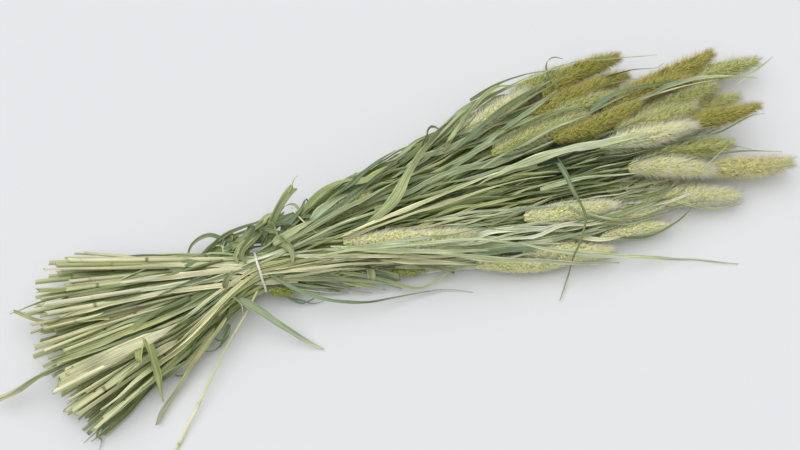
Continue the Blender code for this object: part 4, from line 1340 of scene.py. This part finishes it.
# %% Kinds of seed head
# near and far: a bristle's colour at its root and its tip; bristle: its length in mm; hairs:
# bristles for each mm of a head; deep: how much of its colour the darkest husk has, and, squared,
# the painted shade at each husk's foot; kept: how much of a head's colour the painted shade
# leaves alone.
KINDS = {
    "olive": dict(husks=colours("#b6b44e", "#c1c05e", "#9e9b3b", "#b9b656", "#a8a046"),
                  near=linear("#c9bf5e"), far=linear("#e6da92"), bristle=(6.0, 10.0),
                  hairs=27, deep=0.5, kept=0.7),
    "green": dict(husks=colours("#ccd06f", "#d8dc80", "#b2ba58", "#d2d679", "#bec566"),
                  near=linear("#dcde92"), far=linear("#f4f1c8"), bristle=(6.0, 10.5),
                  hairs=27, deep=0.55, kept=0.72),
    "gold": dict(husks=colours("#efe69c", "#f4ecae", "#dfd586", "#f0e8aa", "#e8de94"),
                 near=linear("#f5eeb4"), far=linear("#faf6d8"), bristle=(6.0, 10.0),
                 hairs=27, deep=0.75, kept=0.75),
    "pale": dict(husks=colours("#f0f2a8", "#f7f7bc", "#e4e892", "#f4f4be", "#eaee9e"),
                 near=linear("#f8f7c4"), far=linear("#fffdec"), bristle=(7.0, 11.5),
                 hairs=34, deep=1.0, kept=1.0),
}
HEAD_KINDS = {"olive": (1, 5, 7, 9, 20, 25, 30), "gold": (13, 37),
              "green": (2, 4, 6, 8, 10, 12, 26, 29, 31, 32, 33, 35)}      # the rest are pale
SLIM_HEADS = {5: 0.84, 34: 0.66, 15: 0.85, 17: 0.82, 18: 0.72, 19: 0.82}
SHORT_HEAD, SHORT_SIZE = 50.0, 0.72       # heads shorter than this are slimmer too
print("kinds of seed head:", {name: kind["hairs"] for name, kind in KINDS.items()}, "bristles/mm")

# %% [markdown]
# Every husk and bristle is a small solid from one helper. A thousand tones on a head would not
# look different from sixty-four, so they share that many, and as many cells of the flat map.

# %% Small solids
TONE_CELLS = 64
CELL_STEP = np.array([40.0, 9.0, 0.0])    # mm in the grain from one cell's solids to the next
HUSK_SOLID = dict(finish=0, grid=8, low=0.42, high=1.0,
                  tris=np.array([(0, 1 + (k + 1) % 4, 1 + k) for k in range(4)]
                                + [(5, 1 + k, 1 + (k + 1) % 4) for k in range(4)]),
                  local=np.array([(-1.5, 0, 0), (-0.2, 0.9, 0), (-0.2, 0, 0.9), (-0.2, -0.9, 0),
                                  (-0.2, 0, -0.9), (1.8, 0, 0)]),
                  flat=np.array([corner for k in range(4) for corner in
                                 ((0.1 + 0.2 * k + 0.1, 0.1), (0.1 + 0.2 * (k + 1), 0.45),
                                  (0.1 + 0.2 * k, 0.45))]
                                + [corner for k in range(4) for corner in
                                   ((0.1 + 0.2 * k + 0.1, 0.9), (0.1 + 0.2 * k, 0.45),
                                    (0.1 + 0.2 * (k + 1), 0.45))]))
HAIR_SOLID = dict(finish=1, grid=16, low=0.08, high=0.41,
                  tris=np.array([(0, 1, 3), (1, 2, 3), (2, 0, 3)]),
                  local=np.array([(0.0, 0.2, 0.0), (0.0, -0.1, 0.2), (0.0, -0.1, -0.2),
                                  (6.0, 0.0, 0.0)]),
                  flat=np.array([corner for k in range(3) for corner in
                                 ((0.1 + 0.27 * k, 0.1), (0.1 + 0.27 * (k + 1), 0.1),
                                  (0.1 + 0.27 * k + 0.13, 0.9))]))


def spikes(centre, axis, foot, belt, wide, point, sides):
    """Small solids: a foot, a ring and a point along their axes (or a ring and a point)."""
    cross = unit(np.cross(axis, UP + 0.01))
    other = np.cross(axis, cross)
    angle = ring_of(sides)
    ring = (centre + axis * belt)[:, None, :] + wide[:, None] * (
        cross[:, None, :] * np.cos(angle)[None, :, None]
        + other[:, None, :] * np.sin(angle)[None, :, None])
    rows = [ring, (centre + axis * point)[:, None]]
    if foot is not None:
        rows.insert(0, (centre + axis * foot)[:, None])
    return np.concatenate(rows, axis=1).reshape(-1, 3)


def small_solids(verts, tones, cell, solid):
    """A part of many small solids, each with its cell's place in the grain and the flat map."""
    tris = np.arange(len(cell))[:, None, None] * len(solid["local"]) + solid["tris"][None]
    grain = solid["local"][None] + CELL_STEP * cell[:, None, None]
    grid, low, high = solid["grid"], solid["low"], solid["high"]
    column, row = (cell % grid).astype(float), (cell // grid).astype(float)
    u = (column[:, None] + solid["flat"][None, :, 0]) / grid
    v = low + (high - low) * (row[:, None] + solid["flat"][None, :, 1]) / (TONE_CELLS // grid)
    return dict(verts=verts, faces=list(map(tuple, tris.reshape(-1, 3).tolist())), tones=tones,
                grain=grain.reshape(-1, 3), finish=solid["finish"],
                corners=np.stack([u, v], axis=2).reshape(-1, 2))


print("triangles in a husk:", len(HUSK_SOLID["tris"]), "in a bristle:", len(HAIR_SOLID["tris"]))

# %% [markdown]
# The golden angle turns each husk away from the last, as on the living spike, so no seam
# shows. Their rows rise and sink in soft lumps, and their tips stand out. Each husk's foot is
# painted darker, as painted shade between the husks, and its point paler, as painted light. A
# plain core inside stops the eye from seeing through.

# %% Shape of a seed head
HUSK_PITCH = 1.9                # mm between husks, round and along the head
GOLDEN_ANGLE = 2.39996
BODY_RADIUS = 8.6
HAIR_RADIUS = 0.16              # a real bristle has half of that; drawn as fine as still shows
CORE_SIDES, CORE_SKIP = 8, 5
head_rng = np.random.default_rng(77)


def head_radius(share, taper):
    """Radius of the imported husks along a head: blunt base, full body, round tip."""
    body = np.clip(np.sin(math.pi * np.clip(0.045 + 0.92 * share, 0, 1)), 0, 1) ** 0.45
    return BODY_RADIUS * body * (1.0 - taper * share ** 2.5)


def spots(path, axes, share, angle):
    """Places and directions on a spine: centre, along, and outwards at an angle round it."""
    row = share * (len(path) - 1)
    low = np.clip(row.astype(int), 0, len(path) - 2)
    part = (row - low)[:, None]
    mixed = [one[low] * (1 - part) + one[low + 1] * part for one in (path, *axes)]
    along, side, up = (unit(one) for one in mixed[1:])
    return mixed[0], along, side * np.cos(angle)[:, None] + up * np.sin(angle)[:, None]


def packed_husks(path, axes, plump, taper, kind, light, random):
    """The husks of a head, in close rows from its base to its tip."""
    length = walked(path)[-1]
    share = np.concatenate([
        np.full(max(5, int(2 * math.pi * head_radius(at, taper) * plump / HUSK_PITCH)), at)
        for at in np.linspace(0.01, 0.99, int(length / HUSK_PITCH))])
    count = len(share)
    share = np.clip(share + random.normal(0.0, 0.006, count), 0.0, 0.995)
    angle = np.arange(count) * GOLDEN_ANGLE + random.normal(0.0, 0.2, count)
    centre, along, out = spots(path, axes, share, angle)
    lump = np.sin(5.0 * angle + 0.55 * share * length)
    lean = random.normal(0.7, 0.15, count)[:, None]
    axis = unit(out * np.sin(lean) + along * np.cos(lean))
    rise = 0.75 * lump + random.normal(0.0, 0.25, count) - 1.3
    centre = centre + out * (head_radius(share, taper) * plump + rise)[:, None]
    grown = random.uniform(0.85, 1.2, count)[:, None]
    verts = spikes(centre, axis, -1.5 * grown, -0.2 * grown, 0.95 * grown, 2.0 * grown, 4)
    cell = random.integers(TONE_CELLS, size=count)
    pool = np.array(kind["husks"])
    picked = pool[random.integers(len(pool), size=TONE_CELLS)]
    # Painted shade from the head's depth, times a tone that differs at random; then each husk's
    # foot is painted darker and greener, as shade between the husks, and its point paler, as
    # painted light.
    cell_tone = paint_shade(picked, light * random.uniform(kind["deep"], 1.12, TONE_CELLS))
    height = np.array([[kind["deep"] ** 2], *[[0.95]] * 4, [1.22]])       # foot, ring, point
    height = height * np.array([[1.0, 1.0, 0.6]] + [[1.0] * 3] * 5)
    tones = (cell_tone[cell][:, None, :] * height[None]).reshape(-1, 3)
    return small_solids(verts, tones, cell, HUSK_SOLID)


def bristles(path, axes, plump, taper, kind, size, light, random):
    """The bristles of a head, which lean to its tip more the nearer they are to it."""
    count = int(walked(path)[-1] * kind["hairs"] * size)
    share = random.uniform(0.0, 1.0, count)
    centre, along, out = spots(path, axes, share, random.uniform(0.0, 2 * math.pi, count))
    lean = (random.normal(0.85, 0.22, count) * (1.0 - 0.55 * share ** 5))[:, None]
    swirl = np.cross(along, out) * random.normal(0.0, 0.28, count)[:, None]
    axis = unit(out * np.sin(lean) + along * np.cos(lean) + swirl)
    root = centre + out * (head_radius(share, taper) * plump - 1.6)[:, None]
    reach = size * random.uniform(*kind["bristle"], count)[:, None]
    verts = spikes(root, axis, None, 0.0, np.full((count, 1), HAIR_RADIUS), reach, 3)
    cell = random.integers(TONE_CELLS, size=count)
    # Painted shade from how deep the head lies, times a tone that differs at random from cell to
    # cell.
    shade = light * random.uniform(0.72, 1.34, TONE_CELLS)[cell]
    tones = np.stack([paint_shade(kind["near"], shade)] * 3 + [paint_shade(kind["far"], shade)], axis=1)
    return small_solids(verts, tones.reshape(-1, 3), cell, HAIR_SOLID)


def seed_head(path, kind, random, size=1.0, light=1.0):
    """Husks, bristles and the core of one head along its path, as three parts."""
    axes = frames(path)
    plump, taper = size * random.uniform(0.92, 1.1), random.uniform(0.02, 0.3)
    husks = packed_husks(path, axes, plump, taper, kind, light, random)
    hairs = bristles(path, axes, plump, taper, kind, size, light, random)
    stalk, side, up = (line[::CORE_SKIP] for line in (path, *axes[1:]))
    share = np.linspace(0.0, 1.0, len(path))[::CORE_SKIP]
    thick = head_radius(share, taper) * plump - 1.9
    angle = ring_of(CORE_SIDES)
    ring = np.stack([np.cos(angle), np.sin(angle)], axis=1)
    verts = np.concatenate([spot + thick[k] * (ring[:, :1] * side[k] + ring[:, 1:] * up[k])
                            for k, spot in enumerate(stalk)])
    tones = np.repeat((kind["husks"][0] * (0.7, 0.7, 0.4))[None], len(verts), axis=0)
    core = loft(len(stalk), CORE_SIDES, verts, tones, verts - verts[0])
    core["corners"][:, 1] = 0.005 + 0.065 * core["corners"][:, 1]       # under the bristles' cells
    return [husks, hairs, core]


print("a head is at most", 2 * BODY_RADIUS, "mm across its husks")

# %% [markdown]
# Each head follows its own strand, with a slight bend. Two small young spikes peep out at the
# near side.

# %% Build the seed heads
# light: painted shade, a factor that darkens each spike's tones.
YOUNG_SPIKES = (                # name, size, light, places
    ("by_the_band", 0.55, 0.75, [(5, -19, 17), (11, -22, 16), (18, -24, 14), (25, -26, 12)]),
    ("at_the_near_edge", 0.45, 0.85, [(110, -38, 13), (123, -42, 12), (136, -46, 11)]),
)
for one in strands:
    if one["kind"] != "stem" or not one["head"]:
        continue
    xs = np.linspace(one["base"] - 2.0, one["end"], 51)
    path, share = spine(one, xs), np.linspace(0.0, 1.0, len(xs))
    wander = ripple(xs, 0.5, 90.0, 50.0, head_rng, 2)
    path[:, 1] += wander + head_rng.normal(0.0, 2.2) * 4.0 * share * (1.0 - share)
    number = int(one["head"][-2:])
    kind = KINDS[next((kind for kind, heads in HEAD_KINDS.items() if number in heads), "pale")]
    # Painted shade: the head's tones darken with how deep its strand lies in the pile.
    shade = float(np.interp(xs, STATIONS, one["light"]).mean())
    light = kind["kept"] + (1.0 - kind["kept"]) * shade
    short = one["end"] - one["base"] < SHORT_HEAD
    size = SLIM_HEADS.get(number, SHORT_SIZE if short else 1.0)
    make_piece("spike_of_" + one["head"], seed_head(path, kind, head_rng, size, light),
               [HUSK, BRISTLE], [one["head"]] if one["fixed"] else None)
for name, size, light, places in YOUNG_SPIKES:
    parts = seed_head(curve(places, 0.6), KINDS["green"], head_rng, size, light)
    make_piece(f"small_spike_{name}", parts, [HUSK, BRISTLE])
print("heads:", sum("spike" in name for name, _ in made), "with",
      sum(count for name, count in made if "spike" in name), "triangles")

# %% [markdown]
# ## The band
# A thin white elastic band, 2 mm wide, taut round everything at the waist. It is extruded
# rubber with fine ribs along it. A ring of its own would float or cut in, so its route is the
# shortest loop round all strands where it lies, which is what a taut band finds.

# %% White elastic
# Natural rubber filled white: satin, with ribs half a millimetre apart, a little greyed between.
ELASTIC = bpy.data.materials.new("white_elastic")
ELASTIC.use_nodes = True
tree = ELASTIC.node_tree
shader = tree.nodes["Principled BSDF"]
shader.inputs["Roughness"].default_value = 0.35
grain = add(tree, "ShaderNodeAttribute", {"attribute_name": "grain"}).outputs["Vector"]
along = add(tree, "ShaderNodeMapping", {"Scale": (0.08, 2.0, 2.0)}, Vector=grain)
rib = add(tree, "ShaderNodeTexNoise", {"Scale": 1.0, "Detail": 2.0},
          Vector=along.outputs["Vector"])
mix = add(tree, "ShaderNodeMix", {"data_type": "RGBA"}, _0=rib.outputs["Fac"])
mix.inputs[6].default_value = (*linear("#dedfda"), 1.0)
mix.inputs[7].default_value = (*linear("#fafaf7"), 1.0)
tree.links.new(mix.outputs[2], shader.inputs["Base Color"])
print("nodes of the elastic:", len(tree.nodes))

# %% [markdown]
# A circle round each strand makes a cloud of points, and their convex outline is the loop.

# %% Route of the band
BAND_X = 3.0                    # where it lies, mm along from the middle of the frame's band
CLEAR = 2.0                     # mm from a strand's centre to the inside of the band
BAND_RINGS = 120
circle = ring_of(48)


def outline(points):
    """Convex outline of points in a plane, anticlockwise."""
    def half(ordered):
        chain = []
        for p in ordered:
            while len(chain) > 1:
                (ax, ay), (bx, by) = chain[-2:]
                if (bx - ax) * (p[1] - ay) - (by - ay) * (p[0] - ax) > 0:
                    break
                chain.pop()
            chain.append(p)
        return chain[:-1]
    ordered = sorted(map(tuple, points))
    return np.array(half(ordered) + half(ordered[::-1]))


cloud = []
for one in strands:
    if one["start"] < -BAND_X and one["end"] > BAND_X:
        middle = spine(one, np.array([BAND_X]))[0, 1:]
        if np.linalg.norm(middle - (0.0, WAIST_Z)) < WAIST_RADIUS + 2.0:
            cloud += [middle + CLEAR * np.array([math.cos(a), math.sin(a)]) for a in circle]
hull = outline(cloud)
closed = np.vstack([hull, hull[:1]])
far = walked(closed)
places = np.linspace(0.0, far[-1], BAND_RINGS, endpoint=False)
loop = np.stack([np.interp(places, far, closed[:, axis]) for axis in (0, 1)], axis=1)
print("the band is", *(round(float(size), 1) for size in np.ptp(loop, axis=0)), "mm across")

# %% [markdown]
# Its section is a rectangle with round corners, swept along the loop and joined to itself. The
# band leans with the bundle's twist and waves a little, as one put on by hand does.

# %% Build the band
LEAN = 0.05                     # mm in x for each mm across or up


def squared(value):
    """A sine or cosine pushed outwards, which makes a circle a rectangle with round corners."""
    return math.copysign(abs(value) ** 0.6, value)


section = [(squared(math.cos(a)), 0.55 + 0.5 * squared(math.sin(a))) for a in circle[::4]]
heading = unit(np.roll(loop, -1, axis=0) - np.roll(loop, 1, axis=0))
outward = np.stack([heading[:, 1], -heading[:, 0]], axis=1)
verts, grain, faces, corners = [], [], [], []
for ring, (spot, normal) in enumerate(zip(loop, outward)):
    tilt = BAND_X + LEAN * spot[0] - LEAN * (spot[1] - WAIST_Z) + 0.15 * math.sin(ring * 0.35)
    verts += [(x + tilt, *(spot + normal * out)) for x, out in section]
    grain += [(places[ring], x, out) for x, out in section]
    here, after = ring * len(section), (ring + 1) % BAND_RINGS * len(section)
    for k in range(len(section)):
        beside = (k + 1) % len(section)
        faces.append((here + k, here + beside, after + beside, after + k))
        corners += [((ring + a) / BAND_RINGS, (k + b) / len(section))
                    for a, b in ((0, 0), (0, 1), (1, 1), (1, 0))]
band = dict(verts=np.array(verts), faces=faces, corners=corners, tones=np.ones((len(verts), 3)),
            grain=np.array(grain))
make_piece("elastic_band", [band], [ELASTIC], ["tie_band"])
print("triangles in the band:", made[-1][1])

# %% [markdown]
# ## Surface
# The bundle lies on a plain pale board. It is matt, so that it shows soft shadows and no gloss.

# %% Surface
HALF_SIDE, BELOW = 4.0, -0.0002       # m
# Painted board: pale grey, flat light with no highlight.
FLOOR = bpy.data.materials.new("matt_pale_board")
FLOOR.use_nodes = True
board = FLOOR.node_tree.nodes["Principled BSDF"]
board.inputs["Base Color"].default_value = (*linear("#e8e9eb"), 1.0)
board.inputs["Roughness"].default_value = 0.95
board.inputs["Specular IOR Level"].default_value = 0.2
floor_mesh = bpy.data.meshes.new("surface")
floor_mesh.from_pydata([(x * HALF_SIDE, y * HALF_SIDE, BELOW)
                        for x, y in ((-1, -1), (1, -1), (1, 1), (-1, 1))], [], [(0, 1, 2, 3)])
floor_mesh.materials.append(FLOOR)
floor = bpy.data.objects.new("surface", floor_mesh)
scene = bpy.context.scene
scene.collection.objects.link(floor)
print("surface:", 2 * HALF_SIDE, "m wide")

# %% [markdown]
# ## Light and camera
# A white sky fills the shadows, and one very wide lamp from above gives them a direction. Two
# area lamps could do the same, but a wide sun needs no placing. The camera looks down from
# high up on the side of the cut ends.

# %% Light and camera
SKY_STRENGTH, LAMP_STRENGTH, LAMP_WIDTH = 0.45, 1.8, math.radians(90.0)
LAMP_RAY = Vector((0.22, -0.16, -1.0))
LOOK_AT, DISTANCE = (134.0, 9.0, 0.0), 1.18           # mm from under the band, and m
ELEVATION, AZIMUTH = math.radians(62.0), math.radians(-20.6)

world = bpy.data.worlds.new("soft_sky")
scene.world = world
world.use_nodes = True
sky = world.node_tree.nodes["Background"]
sky.inputs["Color"].default_value = (*linear("#fcfdff"), 1.0)
sky.inputs["Strength"].default_value = SKY_STRENGTH

lamp = bpy.data.lights.new("soft_box", "SUN")
lamp.energy, lamp.angle = LAMP_STRENGTH, LAMP_WIDTH
holder = bpy.data.objects.new("soft_box", lamp)
holder.rotation_euler = LAMP_RAY.to_track_quat("-Z", "Y").to_euler()
scene.collection.objects.link(holder)

camera = bpy.data.cameras.new("camera")
camera.lens, camera.sensor_width = 60.0, 36.0
viewer = bpy.data.objects.new("camera", camera)
scene.collection.objects.link(viewer)
away = np.array([math.sin(AZIMUTH) * math.cos(ELEVATION), -math.cos(AZIMUTH) * math.cos(ELEVATION),
                 math.sin(ELEVATION)])
viewer.location = to_frame(LOOK_AT) + away * DISTANCE
viewer.rotation_euler = (math.pi / 2 - ELEVATION, 0.0, AZIMUTH)
scene.camera = viewer
scene.view_settings.view_transform = "Standard"
print("camera at, m:", [round(value, 3) for value in viewer.location])

# %% [markdown]
# ## Finish
# The number of pieces and of triangles is printed, with the largest piece.

# %% Finish
print("pieces:", len(made), "triangles:", sum(count for _, count in made),
      "largest:", max(made, key=lambda one: one[1]))
